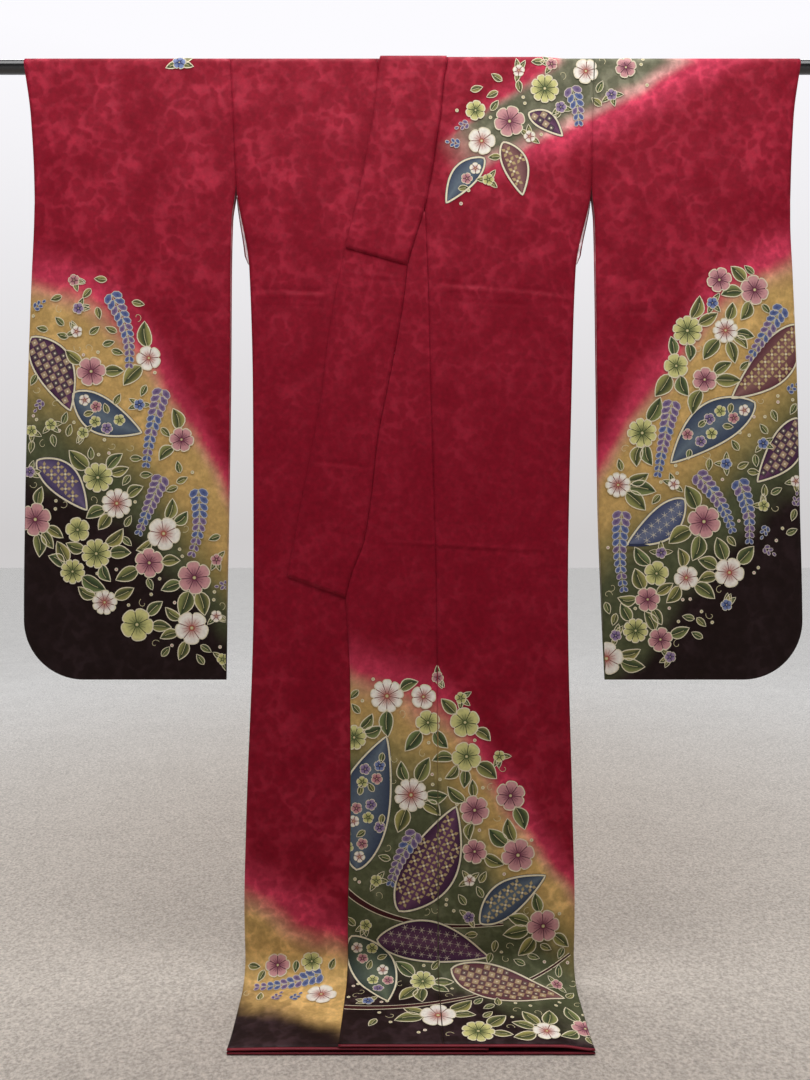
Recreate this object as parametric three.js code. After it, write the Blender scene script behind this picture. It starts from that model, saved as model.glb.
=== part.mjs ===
// Furisode kimono hung flat on a display rod. Millimetres, +Z up. The front faces -Y, the wearer's
// left is +X, and the origin is on the rod's axis, at its middle. "down" is the way along the cloth
// from the height of the rod's axis: straight down, round the bend above the floor, then forward.
import * as THREE from 'three';

// Rod
const ROD_LENGTH = 1400;
const ROD_RADIUS = 11;
const ROD_SIDES = 32;

// Cloth: outer silk and lining together are one wall
const WALL = 1.5;
const SEAM = 0.3;
const ROD_REACH = ROD_RADIUS + 1.1;

// Rows of points over the rod, as shares of the half turn from its front to its back
const ROD_STEPS = 8;
const ROD_SHARES = Array.from({ length: ROD_STEPS - 1 }, (_, i) => (i + 1) / ROD_STEPS);
const TOP_SHARE = 0.5;
const GAP_SHARE = SEAM / 2 / (Math.PI * ROD_REACH);
const SHOULDER_SHARES = [GAP_SHARE, ...ROD_SHARES, 1 - GAP_SHARE];
const HIDDEN_COLLAR_SHARES = ROD_SHARES.filter((share) => share <= TOP_SHARE);

// Floor, and the bend where the hanging cloth turns forward onto it
const FLOOR = -1520;
const BEND_RADIUS = 50;
const BEND_STEPS = 6;
const HEM_FORWARD = 191;
const FLOOR_HALF_DEPTH = 3.5;
const FLOOR_MIDDLE = FLOOR + WALL / 2 + FLOOR_HALF_DEPTH;
const BEND_START = -FLOOR_MIDDLE - BEND_RADIUS;
const BEND_END = BEND_START + BEND_RADIUS * Math.PI / 2;
const HEM = BEND_END + HEM_FORWARD - BEND_RADIUS;

// The left front lies over the right one: the step between their middle surfaces
const OVERLAP_STEP = 2.4;
const OVERLAP_STEP_ON_FLOOR = 4.2;
const OVERLAP_FADE_START = 212;
const OVERLAP_FADE_END = 255;

// Half of the body's depth, front to back, away from its side edges, and at them
const BODY_DEPTH = [
  { down: 0, half: ROD_REACH },
  { down: 250, half: 11.5 },
  { down: 1400, half: 11 },
  { down: BEND_END, half: FLOOR_HALF_DEPTH },
  { down: HEM, half: FLOOR_HALF_DEPTH },
];
const BODY_EDGE_DEPTH = [
  { down: 0, half: ROD_REACH },
  { down: 87, half: 9.6 },
  { down: 198, half: 6.6 },
  { down: 334, half: (WALL + SEAM) / 2 },
  { down: HEM - 45, half: (WALL + SEAM) / 2 },
  { down: HEM, half: 2.8 },
];
const BODY_TAPER = 125;

// Side edges of the body, the wearer's right and left
const BODY_SIDES = [
  { down: 0, right: -300, left: 300 },
  { down: 198, right: -292, left: 297 },
  { down: 334, right: -271, left: 272 },
  { down: 548, right: -265, left: 265 },
  { down: 882, right: -264, left: 259 },
  { down: 1253, right: -276, left: 267 },
  { down: 1395, right: -279, left: 270 },
  { down: HEM, right: -266, left: 259 },
];

// Slanting lines of the left front: where the collar is sewn on, and the collar's free edge.
// The right front has the same ones, mirrored.
const COLLAR_LINES = [
  { down: 0, seam: 58, free: -54 },
  { down: 30, seam: 52, free: -58 },
  { down: 87, seam: 47, free: -65 },
  { down: 117, seam: 42, free: -70 },
  { down: 166, seam: 35, free: -79 },
  { down: 198, seam: 29, free: -85 },
  { down: 238, seam: 21, free: -94 },
  { down: 293, seam: 4, free: -108 },
  { down: 334, seam: -7.5, free: -117 },
  { down: 382, seam: -13, free: -127 },
  { down: 472, seam: -28, free: -141 },
  { down: 548, seam: -43, free: -150 },
  { down: 627, seam: -58, free: -164 },
  { down: 710, seam: -67, free: -180 },
  { down: 787, seam: -79, free: -195 },
  { down: 847, seam: -101, free: -207 },
  { down: 882, seam: -110, free: -214 },
];
const COLLAR_END_AT_SEAM = 882;
const COLLAR_END_AT_FREE_EDGE = 847;
const COLLAR_COLUMNS = 4;
const NECK_DROP = 30;
const NECK_END = 27;
const COLLAR_LEVEL = ROD_REACH + OVERLAP_STEP;

// Over-collar: a second layer on the upper collar, with a slanting end step
const OVER_COLLAR_END_AT_SEAM = 334;
const OVER_COLLAR_END_AT_FREE_EDGE = 306;
const OVER_COLLAR_INSET = 1;
const OVER_COLLAR_LIFT = WALL + SEAM;

// Okumi: its seam to the front, and its free edge
const OKUMI_TOP = 246;
const OKUMI_COLUMNS = 4;
const OKUMI_SEAM = [
  { down: 238, x: 21 },
  { down: 382, x: 27 },
  { down: 548, x: 31 },
  { down: 710, x: 36 },
  { down: 882, x: 40 },
  { down: 1130, x: 42 },
  { down: HEM, x: 43 },
];
const OKUMI_EDGE = [
  { down: COLLAR_END_AT_SEAM, x: -110 },
  { down: 1037, x: -102 },
  { down: 1253, x: -102 },
  { down: 1395, x: -106 },
  { down: HEM, x: -107 },
];

// Sleeves: inner edges go on from the body's armholes, the lower outer corner is an arc
const ARMHOLE = 198;
const CUFF = 230;
const SLEEVE_LENGTH = 1018;
const SLEEVE_CORNER = 98;
const SLEEVE_CORNER_STEPS = 6;
const SLEEVE_COLUMNS = 9;
const SLEEVE_EDGE_BULGE = 1;
const SLEEVE_TAPER = 95;
const CLOSED_HALF_DEPTH = WALL / 2 + 0.6;
const SLEEVE_EDGES = [
  { down: 0, innerRight: -300, outerRight: -641, innerLeft: 300, outerLeft: 641 },
  { down: 87, innerRight: -296.5, outerRight: -631, innerLeft: 298.7, outerLeft: 631 },
  { down: 198, innerRight: -292, outerRight: -627, innerLeft: 297, outerLeft: 628 },
  { down: 255, innerRight: -299, outerRight: -628, innerLeft: 302, outerLeft: 628 },
  { down: 347, innerRight: -301, outerRight: -632, innerLeft: 304, outerLeft: 632 },
  { down: 515, innerRight: -302, outerRight: -638, innerLeft: 306, outerLeft: 639 },
  { down: 730, innerRight: -305, outerRight: -643, innerLeft: 309, outerLeft: 644 },
  { down: 900, innerRight: -308, outerRight: -645, innerLeft: 315, outerLeft: 648 },
  { down: SLEEVE_LENGTH, innerRight: -309, outerRight: -645, innerLeft: 320, outerLeft: 649 },
];
const SLEEVE_DEPTH = [
  { down: 0, middle: ROD_REACH, inner: ROD_REACH, outer: ROD_REACH },
  { down: 87, middle: 11.8, inner: 9.6, outer: 8 },
  { down: ARMHOLE, middle: 11, inner: 6.6, outer: 4 },
  { down: CUFF, middle: 10.8, inner: 6.2, outer: 2.2 },
  { down: 262, middle: 10.6, inner: 6, outer: CLOSED_HALF_DEPTH },
  { down: 700, middle: 9, inner: 5, outer: CLOSED_HALF_DEPTH },
  { down: 920, middle: 7.5, inner: 4, outer: CLOSED_HALF_DEPTH },
  { down: 985, middle: 4.5, inner: 2.6, outer: CLOSED_HALF_DEPTH },
  { down: SLEEVE_LENGTH, middle: CLOSED_HALF_DEPTH, inner: CLOSED_HALF_DEPTH, outer: CLOSED_HALF_DEPTH },
];

// Hem roll, and the lining's edge in the side openings
const ROLL_WIDTH = 5;
const ROLL_THICKNESS = 3.5;
const ROLL_SIDES = 8;
const ROLL_STEPS = 14;
const BACK_ROLL_RAISE = (ROLL_THICKNESS - WALL) / 2;
const LINING_EDGE = [
  { down: 214, width: 2.5 },
  { down: 328, width: 4 },
];
const LINING_EDGE_STEPS = 4;

// Rows of points down the hanging cloth. Those on the floor are worked out from the bend.
const FRONT_ROWS = [
  30, 60, 87, 117, 166, 198, 238, 293, 334, 382, 472, 548, 627, 710, 787, 847, 882, 960, 1037,
  1130, 1253, 1330, 1395,
];
const BACK_ROWS = [12, 21, NECK_END, NECK_DROP, 87, 198, 250, 334, 440, 548, 710, 882, 1060, 1253, 1395];
const SLEEVE_ROWS = [0, 40, 87, 140, ARMHOLE, CUFF, 262, 320, 400, 500, 610, 720, 820];
const FLOOR_STEPS = 3;
const BODY_COLUMNS = 8;

const crimson = new THREE.MeshStandardMaterial({ color: 0x871c2e, roughness: 0.62, metalness: 0 });
const crimsonShade = new THREE.MeshStandardMaterial({ color: 0x74141f, roughness: 0.62, metalness: 0 });
const wine = new THREE.MeshStandardMaterial({ color: 0x6a1624, roughness: 0.6, metalness: 0 });
const paleSilk = new THREE.MeshStandardMaterial({ color: 0xe9d9d4, roughness: 0.55, metalness: 0 });
const lacquer = new THREE.MeshStandardMaterial({ color: 0x0c0c0e, roughness: 0.22, metalness: 0 });

// --- numbers -------------------------------------------------------------------------------------

// A column of a table at a place down the cloth, straight between its rows.
function at(table, column, down) {
  const next = table.findIndex((row) => row.down >= down);
  if (next < 0) {
    return table[table.length - 1][column];
  }
  if (next === 0) {
    return table[0][column];
  }
  const a = table[next - 1];
  const b = table[next];
  return THREE.MathUtils.mapLinear(down, a.down, b.down, a[column], b[column]);
}

// 0 at the first place, 1 at the second, with a smooth start and end.
function ease(value, start, end) {
  return THREE.MathUtils.smoothstep(value, start, end);
}

function withFloor(hangingRows) {
  const bend = Array.from({ length: BEND_STEPS + 1 },
    (_, i) => BEND_START + (BEND_END - BEND_START) * i / BEND_STEPS);
  const floor = Array.from({ length: FLOOR_STEPS },
    (_, i) => BEND_END + (HEM - BEND_END) * (i + 1) / FLOOR_STEPS);
  return [...hangingRows, ...bend, ...floor];
}

// --- the line that the hanging cloth follows, seen from the side ---------------------------------

// A point that lies "out" behind the cloth's middle line, at a place down it.
function place(x, down, out) {
  const turn = THREE.MathUtils.clamp((down - BEND_START) / BEND_RADIUS, 0, Math.PI / 2);
  const straight = Math.min(down, BEND_START);
  const forward = Math.max(down - BEND_END, 0);
  const y = -BEND_RADIUS * (1 - Math.cos(turn)) - forward;
  const z = -straight - BEND_RADIUS * Math.sin(turn);
  return new THREE.Vector3(x, y + out * Math.cos(turn), z - out * Math.sin(turn));
}

// A point on the way over the rod: angle 0 is its front, a half turn its back.
function overRod(x, angle, reach) {
  return new THREE.Vector3(x, -reach * Math.cos(angle), reach * Math.sin(angle));
}

// Half of the body's depth at a point: full in the middle, falling off to the side edges.
function bodyHalfDepth(x, down) {
  const edge = x < 0 ? -at(BODY_SIDES, 'right', down) : at(BODY_SIDES, 'left', down);
  const inset = THREE.MathUtils.clamp((edge - Math.abs(x)) / BODY_TAPER, 0, 1);
  const middle = at(BODY_DEPTH, 'half', down);
  const side = at(BODY_EDGE_DEPTH, 'half', down);
  return side + (middle - side) * (1 - (1 - inset) ** 2);
}

// The back lies flat where it rests on the floor, and the fronts take up the depth there.
function backOut(x, down) {
  const rest = ease(down, BEND_START, BEND_END);
  return THREE.MathUtils.lerp(bodyHalfDepth(x, down), at(BODY_DEPTH, 'half', down), rest);
}

function lowerFrontOut(x, down) {
  return backOut(x, down) - 2 * bodyHalfDepth(x, down);
}

function overlapStep(x, down) {
  const fade = 1 - ease(x, OVERLAP_FADE_START, OVERLAP_FADE_END);
  const step = THREE.MathUtils.lerp(OVERLAP_STEP, OVERLAP_STEP_ON_FLOOR, ease(down, BEND_START, BEND_END));
  return step * fade;
}

function upperFrontOut(x, down) {
  return lowerFrontOut(x, down) - overlapStep(x, down);
}

// --- sheets --------------------------------------------------------------------------------------

// Rows of points, each as long as the next, joined into four-sided faces.
function grid(rows) {
  const columns = rows[0].length;
  const points = rows.flat();
  const faces = [];
  for (let i = 0; i + 1 < rows.length; i += 1) {
    for (let j = 0; j + 1 < columns; j += 1) {
      const corner = i * columns + j;
      faces.push([corner, corner + 1, corner + columns + 1, corner + columns]);
    }
  }
  return { points, faces, columns };
}

function flipped(sheet) {
  return { ...sheet, faces: sheet.faces.map((face) => [...face].reverse()) };
}

function pointNormals({ points, faces }) {
  const normals = points.map(() => new THREE.Vector3());
  for (const face of faces) {
    const [a, b, c, d] = face.map((index) => points[index]);
    const normal = c.clone().sub(a).cross(d.clone().sub(b));
    face.forEach((index) => normals[index].add(normal));
  }
  return normals.map((normal) => normal.normalize());
}

// A sheet given its wall, half to each side, and closed all round its open edges.
function thicken(sheet, wall) {
  const { points, faces } = sheet;
  const normals = pointNormals(sheet);
  const outer = points.map((point, i) => point.clone().addScaledVector(normals[i], wall / 2));
  const inner = points.map((point, i) => point.clone().addScaledVector(normals[i], -wall / 2));
  const count = points.length;
  const edges = new Set();
  const quads = [];
  for (const face of faces) {
    quads.push(face);
    quads.push([...face].reverse().map((index) => index + count));
    face.forEach((index, k) => edges.add(`${index} ${face[(k + 1) % 4]}`));
  }
  for (const edge of edges) {
    const [a, b] = edge.split(' ').map(Number);
    if (!edges.has(`${b} ${a}`)) {
      quads.push([b, a, a + count, b + count]);
    }
  }
  return solid([...outer, ...inner], quads);
}

function solid(points, quads) {
  const geometry = new THREE.BufferGeometry();
  geometry.setAttribute('position', new THREE.Float32BufferAttribute(points.flatMap((p) => p.toArray()), 3));
  geometry.setIndex(quads.flatMap(([a, b, c, d]) => [a, b, c, a, c, d]));
  geometry.computeVertexNormals();
  return geometry;
}

function mesh(name, geometry, material) {
  const made = new THREE.Mesh(geometry, material.clone());
  made.name = name;
  return made;
}

// A row of points from one x to another. "spot" gives the point for an x.
function across(from, to, columns, spot) {
  return Array.from({ length: columns + 1 }, (_, i) => spot(THREE.MathUtils.lerp(from, to, i / columns)));
}

// Rows over the rod, from front to back, between the two that lie at its axis's height.
function rodRows(from, to, columns, reach, shares = ROD_SHARES) {
  return shares.map((share) => across(from, to, columns, (x) => {
    const level = THREE.MathUtils.lerp(reach.front(x), reach.back(x), ease(share, TOP_SHARE, 1));
    return overRod(x, Math.PI * share, level);
  }));
}

// --- pieces --------------------------------------------------------------------------------------

function rod() {
  const geometry = new THREE.CylinderGeometry(ROD_RADIUS, ROD_RADIUS, ROD_LENGTH, ROD_SIDES);
  geometry.rotateZ(Math.PI / 2);
  return mesh('rod', geometry, lacquer);
}

// The line where the front ends towards the middle: the collar's seam, then the okumi's.
function frontInnerEdge(down) {
  return down < OKUMI_SEAM[0].down ? at(COLLAR_LINES, 'seam', down) : at(OKUMI_SEAM, 'x', down);
}

// The back's edge at the middle: the scooped neckline, then the centre seam.
function backInnerEdge(down) {
  const scoop = Math.sqrt(Math.max(0, 1 - (down / NECK_DROP) ** 2));
  return Math.max(COLLAR_LINES[0].seam * scoop, SEAM / 2);
}

// The body is one cloth length a side, from the front hem over the shoulder to the back hem, in three
// solids that meet at the rod's height: front, shoulder and back. "side" is 1 for the wearer's left,
// whose front lies on top, and -1 for the right.
function bodySide(side, down) {
  return at(BODY_SIDES, side > 0 ? 'left' : 'right', down);
}

function bodyPanel(name, side, rows, innerEdge, out) {
  const hanging = [SEAM / 2, ...withFloor(rows)].map((down) => across(
    side * innerEdge(down),
    bodySide(side, down),
    BODY_COLUMNS,
    (x) => place(x, down, out(x, down)),
  ));
  const sheet = grid(hanging);
  const facesOut = (side > 0) === (out === backOut);
  return mesh(name, thicken(facesOut ? sheet : flipped(sheet), WALL), crimson);
}

function bodyFront(name, side) {
  return bodyPanel(name, side, FRONT_ROWS, frontInnerEdge, side > 0 ? upperFrontOut : lowerFrontOut);
}

function bodyBack(name, side) {
  return bodyPanel(name, side, BACK_ROWS, backInnerEdge, backOut);
}

function bodyShoulder(name, side) {
  const frontOut = side > 0 ? upperFrontOut : lowerFrontOut;
  const reach = { front: (x) => -frontOut(x, 0), back: (x) => backOut(x, 0) };
  const sheet = grid(rodRows(side * frontInnerEdge(0), bodySide(side, 0), BODY_COLUMNS, reach, SHOULDER_SHARES));
  return mesh(name, thicken(side > 0 ? sheet : flipped(sheet), WALL), crimson);
}

function okumi(name, side) {
  const frontOut = side > 0 ? upperFrontOut : lowerFrontOut;
  const rows = [OKUMI_TOP, ...withFloor(FRONT_ROWS).filter((down) => down > OKUMI_TOP)];
  const freeEdge = (down) => (down < COLLAR_END_AT_SEAM
    ? at(COLLAR_LINES, 'seam', down) + SEAM
    : at(OKUMI_EDGE, 'x', down));
  const front = rows.map((down) => across(side * freeEdge(down), side * (at(OKUMI_SEAM, 'x', down) - SEAM),
    OKUMI_COLUMNS, (x) => place(x, down, frontOut(x, down))));
  const sheet = grid(front.reverse());
  return mesh(name, thicken(side > 0 ? sheet : flipped(sheet), WALL), crimson);
}

// Rows of the opened collar on the front, from its end up to the rod. Its ends slant, so a row's
// two edges lie at different heights.
function collarRows(side, frontOut, lift, endAtSeam, endAtFreeEdge, inset) {
  const stops = COLLAR_LINES.map((row) => row.down).filter((down) => down < endAtSeam);
  return [...stops, endAtSeam].map((seamDown) => {
    const freeDown = seamDown * endAtFreeEdge / endAtSeam;
    const seam = side * (at(COLLAR_LINES, 'seam', seamDown) - SEAM - inset);
    const free = side * (at(COLLAR_LINES, 'free', freeDown) + inset);
    return Array.from({ length: COLLAR_COLUMNS + 1 }, (_, i) => {
      const share = i / COLLAR_COLUMNS;
      const x = THREE.MathUtils.lerp(free, seam, share);
      const down = THREE.MathUtils.lerp(freeDown, seamDown, share);
      return place(x, down, frontOut(x, down) - lift);
    });
  }).reverse();
}

// The nape: behind the rod the collar fills the scooped neckline.
function napeRows(lift, inset) {
  return [0, 12, 21, NECK_END].map((down) => {
    const half = backInnerEdge(down) - SEAM - inset;
    const from = Math.max(-half, COLLAR_LINES[0].free + inset);
    return across(from, half, COLLAR_COLUMNS, (x) => place(x, down, backOut(x, down) + lift));
  });
}

function collarLeft() {
  const edges = COLLAR_LINES[0];
  const reach = { front: () => COLLAR_LEVEL, back: () => ROD_REACH };
  const sheet = grid([
    ...collarRows(1, upperFrontOut, 0, COLLAR_END_AT_SEAM, COLLAR_END_AT_FREE_EDGE, 0),
    ...rodRows(edges.free, edges.seam - SEAM, COLLAR_COLUMNS, reach),
    ...napeRows(0, 0),
  ]);
  return mesh('collar_left', thicken(sheet, WALL), crimsonShade);
}

function overCollar() {
  const edges = COLLAR_LINES[0];
  const lift = OVER_COLLAR_LIFT;
  const inset = OVER_COLLAR_INSET;
  const reach = { front: () => COLLAR_LEVEL + lift, back: () => ROD_REACH + lift };
  const sheet = grid([
    ...collarRows(1, upperFrontOut, lift, OVER_COLLAR_END_AT_SEAM, OVER_COLLAR_END_AT_FREE_EDGE, inset),
    ...rodRows(edges.free + inset, edges.seam - SEAM - inset, COLLAR_COLUMNS, reach),
    ...napeRows(lift, inset),
  ]);
  return mesh('over_collar', thicken(sheet, WALL), crimsonShade);
}

function collarRight() {
  const edges = COLLAR_LINES[0];
  const reach = { front: () => ROD_REACH, back: () => ROD_REACH };
  const sheet = grid([
    ...collarRows(-1, lowerFrontOut, 0, COLLAR_END_AT_SEAM, COLLAR_END_AT_FREE_EDGE, 0),
    ...rodRows(-edges.free, SEAM - edges.seam, COLLAR_COLUMNS, reach, HIDDEN_COLLAR_SHARES),
  ]);
  return mesh('collar_right', thicken(flipped(sheet), WALL), crimsonShade);
}

// Half of a sleeve's depth at a share of its width, from the inner edge to the outer one.
function sleeveHalfDepth(share, width, down) {
  const middle = at(SLEEVE_DEPTH, 'middle', down);
  const fall = (edge, distance) => {
    const inset = THREE.MathUtils.clamp(distance / SLEEVE_TAPER, 0, 1);
    return (middle - edge) * (1 - inset) ** 2;
  };
  const inner = fall(at(SLEEVE_DEPTH, 'inner', down), share * width);
  const outer = fall(at(SLEEVE_DEPTH, 'outer', down), (1 - share) * width);
  return middle - inner - outer;
}

// Heights of a sleeve's rows, each with how far its outer edge is drawn in by the round corner.
function sleeveRows() {
  const straight = SLEEVE_ROWS.map((down) => ({ down, drawnIn: 0 }));
  const corner = Array.from({ length: SLEEVE_CORNER_STEPS + 1 }, (_, i) => {
    const angle = i / SLEEVE_CORNER_STEPS * Math.PI / 2;
    return {
      down: SLEEVE_LENGTH - SLEEVE_CORNER * (1 - Math.sin(angle)),
      drawnIn: SLEEVE_CORNER * (1 - Math.cos(angle)),
    };
  });
  return [...straight, ...corner];
}

// One length folded over the rod. Its bottom and the outer edge below the cuff are closed by a
// rounded strip, and the inner edge below the armhole stays open.
function sleeve(name, side) {
  const innerColumn = side > 0 ? 'innerLeft' : 'innerRight';
  const outerColumn = side > 0 ? 'outerLeft' : 'outerRight';
  const rows = sleeveRows();
  const row = ({ down, drawnIn }, face) => {
    const inner = at(SLEEVE_EDGES, innerColumn, down) + side * SEAM;
    const outer = at(SLEEVE_EDGES, outerColumn, down) - side * drawnIn;
    const width = Math.abs(outer - inner);
    return Array.from({ length: SLEEVE_COLUMNS + 1 }, (_, i) => {
      const share = i / SLEEVE_COLUMNS;
      const x = THREE.MathUtils.lerp(inner, outer, share);
      return new THREE.Vector3(x, face * sleeveHalfDepth(share, width, down), -down);
    });
  };
  const front = rows.map((spec) => row(spec, -1)).reverse();
  const back = rows.map((spec) => row(spec, 1));
  const reach = { front: () => ROD_REACH, back: () => ROD_REACH };
  const over = rodRows(at(SLEEVE_EDGES, innerColumn, 0) + side * SEAM, at(SLEEVE_EDGES, outerColumn, 0),
    SLEEVE_COLUMNS, reach);
  const sheet = grid([...front, ...over, ...back]);
  closeEdge(sheet, rows, sheet.points.length / sheet.columns);
  return mesh(name, thicken(side > 0 ? sheet : flipped(sheet), WALL), crimson);
}

// The strip that joins a sleeve's front and back, down the outer edge and along the bottom.
function closeEdge(sheet, rows, rowCount) {
  const last = sheet.columns - 1;
  const cuffRow = rows.findIndex((spec) => spec.down === CUFF);
  const contour = [];
  for (let i = cuffRow; i < rows.length; i += 1) {
    contour.push([i, last]);
  }
  for (let j = last - 1; j >= 0; j -= 1) {
    contour.push([rows.length - 1, j]);
  }
  const front = contour.map(([i, j]) => (rows.length - 1 - i) * sheet.columns + j);
  const back = contour.map(([i, j]) => (rowCount - rows.length + i) * sheet.columns + j);
  const middle = front.map((index, k) => {
    const here = sheet.points[index].clone().add(sheet.points[back[k]]).multiplyScalar(0.5);
    const before = sheet.points[front[Math.max(k - 1, 0)]];
    const after = sheet.points[front[Math.min(k + 1, front.length - 1)]];
    const along = after.clone().sub(before).setY(0).normalize();
    const inward = sheet.points[index - (k < rows.length - cuffRow ? last : 0)].clone().sub(here);
    const away = new THREE.Vector3(along.z, 0, -along.x);
    if (k < rows.length - cuffRow && away.dot(inward) > 0) {
      away.negate();
    }
    if (k >= rows.length - cuffRow && away.z > 0) {
      away.negate();
    }
    sheet.points.push(here.addScaledVector(away, SLEEVE_EDGE_BULGE));
    return sheet.points.length - 1;
  });
  for (let k = 0; k + 1 < contour.length; k += 1) {
    sheet.faces.push([front[k], front[k + 1], middle[k + 1], middle[k]]);
    sheet.faces.push([middle[k], middle[k + 1], back[k + 1], back[k]]);
  }
}

// A flattened roll along a hem, from one x to another, with closed ends.
function hemRoll(name, from, to, out) {
  const rings = across(from, to, ROLL_STEPS, (x) => Array.from({ length: ROLL_SIDES }, (_, i) => {
    const angle = i / ROLL_SIDES * 2 * Math.PI;
    const down = HEM + SEAM + ROLL_WIDTH / 2 * (1 + Math.cos(angle));
    return place(x, down, out(x, HEM) + ROLL_THICKNESS / 2 * Math.sin(angle));
  }));
  const quads = [];
  for (let i = 0; i + 1 < rings.length; i += 1) {
    for (let j = 0; j < ROLL_SIDES; j += 1) {
      const next = (j + 1) % ROLL_SIDES;
      const [here, there] = [i * ROLL_SIDES, (i + 1) * ROLL_SIDES];
      quads.push([here + j, here + next, there + next, there + j]);
    }
  }
  const end = (rings.length - 1) * ROLL_SIDES;
  for (let j = 0; j < ROLL_SIDES / 2 - 1; j += 1) {
    const far = ROLL_SIDES - 1 - j;
    quads.push([far, far - 1, j + 1, j]);
    quads.push([end + j, end + j + 1, end + far - 1, end + far]);
  }
  return mesh(name, solid(rings.flat(), quads), wine);
}

// The lining's rolled edge beside the back panel, in the opening between armhole and side seam.
function liningEdge(name, side) {
  const [top, bottom] = LINING_EDGE;
  const rows = Array.from({ length: LINING_EDGE_STEPS + 1 },
    (_, i) => THREE.MathUtils.lerp(top.down, bottom.down, i / LINING_EDGE_STEPS));
  const sheet = grid(rows.map((down) => across(
    bodySide(side, down) + side * SEAM,
    bodySide(side, down) + side * at(LINING_EDGE, 'width', down),
    1,
    (x) => place(x, down, at(BODY_EDGE_DEPTH, 'half', down)),
  )));
  return mesh(name, thicken(side > 0 ? sheet : flipped(sheet), WALL), paleSilk);
}

const kimono = new THREE.Group();
kimono.add(
  rod(),
  bodyFront('body_front_left', 1),
  bodyFront('body_front_right', -1),
  bodyShoulder('body_shoulder_left', 1),
  bodyShoulder('body_shoulder_right', -1),
  bodyBack('body_back_left', 1),
  bodyBack('body_back_right', -1),
  okumi('okumi_left', 1),
  okumi('okumi_right', -1),
  collarLeft(),
  collarRight(),
  overCollar(),
  sleeve('sleeve_left', 1),
  sleeve('sleeve_right', -1),
  hemRoll('hem_roll_left', at(OKUMI_EDGE, 'x', HEM), at(BODY_SIDES, 'left', HEM), upperFrontOut),
  hemRoll('hem_roll_right', at(BODY_SIDES, 'right', HEM), -at(OKUMI_EDGE, 'x', HEM), lowerFrontOut),
  hemRoll('hem_roll_back', at(BODY_SIDES, 'right', HEM), at(BODY_SIDES, 'left', HEM),
    (x, down) => backOut(x, down) - BACK_ROLL_RAISE),
  liningEdge('lining_edge_left', 1),
  liningEdge('lining_edge_right', -1),
);

export default kimono;
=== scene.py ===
"""Looks of the furisode kimono on its rod. The pattern's tables are in millimetres; meshes are in metres.

x runs to the wearer's left, "down" along the cloth from the rod's height: straight down, round the bend
above the floor, then forward to the hem. "out" is how far a point lies behind the middle between the
garment's front and back. side is 1 for the wearer's left and -1 for the right; face is -1 on the front
and 1 on the back.
"""

import math

import bpy
import numpy as np
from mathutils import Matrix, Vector


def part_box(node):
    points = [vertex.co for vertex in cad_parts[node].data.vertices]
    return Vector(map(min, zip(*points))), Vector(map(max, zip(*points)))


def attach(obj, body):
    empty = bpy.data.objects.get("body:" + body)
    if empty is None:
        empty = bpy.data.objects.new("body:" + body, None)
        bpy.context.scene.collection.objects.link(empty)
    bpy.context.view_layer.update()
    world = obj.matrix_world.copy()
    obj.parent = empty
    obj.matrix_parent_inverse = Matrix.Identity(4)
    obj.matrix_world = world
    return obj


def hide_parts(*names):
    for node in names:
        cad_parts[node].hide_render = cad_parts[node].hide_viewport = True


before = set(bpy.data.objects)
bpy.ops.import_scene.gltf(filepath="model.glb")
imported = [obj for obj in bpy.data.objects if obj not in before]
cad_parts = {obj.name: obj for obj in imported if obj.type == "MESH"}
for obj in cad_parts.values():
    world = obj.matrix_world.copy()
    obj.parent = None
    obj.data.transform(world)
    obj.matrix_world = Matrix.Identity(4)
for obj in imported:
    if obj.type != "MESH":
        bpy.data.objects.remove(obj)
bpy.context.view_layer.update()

MM = 0.001
SHELL = 1.0
WALL = 1.5
SEAM = 0.3
ROD_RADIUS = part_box("rod")[1].z / MM
ROD_REACH = ROD_RADIUS + 1.1
FLOOR = -1520.0
HAND = {1: "left", -1: "right"}

# ---------------------------------------------------------------- numbers


def table(names, *rows):
    """Rows of numbers as a dict of named columns."""
    return dict(zip(names.split(), np.array(rows, float).T))


def slopes(x, y):
    """Slopes at a curve's points that never overshoot them."""
    step, rise = np.diff(x), np.diff(y) / np.diff(x)
    made = np.zeros(len(x))
    same = rise[:-1] * rise[1:] > 0
    a, b = 2 * step[1:] + step[:-1], step[1:] + 2 * step[:-1]
    with np.errstate(divide="ignore", invalid="ignore"):
        mean = (a + b) / (a / rise[:-1] + b / rise[1:])
    made[1:-1] = np.where(same, mean, 0)
    made[0], made[-1] = rise[0], rise[-1]
    return made


def at(tab, column, down):
    """A table's column at places down the cloth, on a smooth curve through its rows."""
    x, y = tab["down"], tab[column]
    down = np.clip(np.asarray(down, float), x[0], x[-1])
    i = np.clip(np.searchsorted(x, down, side="right") - 1, 0, len(x) - 2)
    step = x[i + 1] - x[i]
    t = (down - x[i]) / step
    m = slopes(x, y)
    return (y[i] * (1 + 2 * t) * (1 - t) ** 2 + m[i] * step * t * (1 - t) ** 2
            + y[i + 1] * t * t * (3 - 2 * t) + m[i + 1] * step * t * t * (t - 1))


def ease(value, start, end):
    """0 at start and 1 at end, smooth at both."""
    t = np.clip((np.asarray(value, float) - start) / (end - start), 0, 1)
    return t * t * (3 - 2 * t)


def mix(a, b, share):
    """a at share 0 and b at share 1."""
    return a + (b - a) * share


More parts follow.
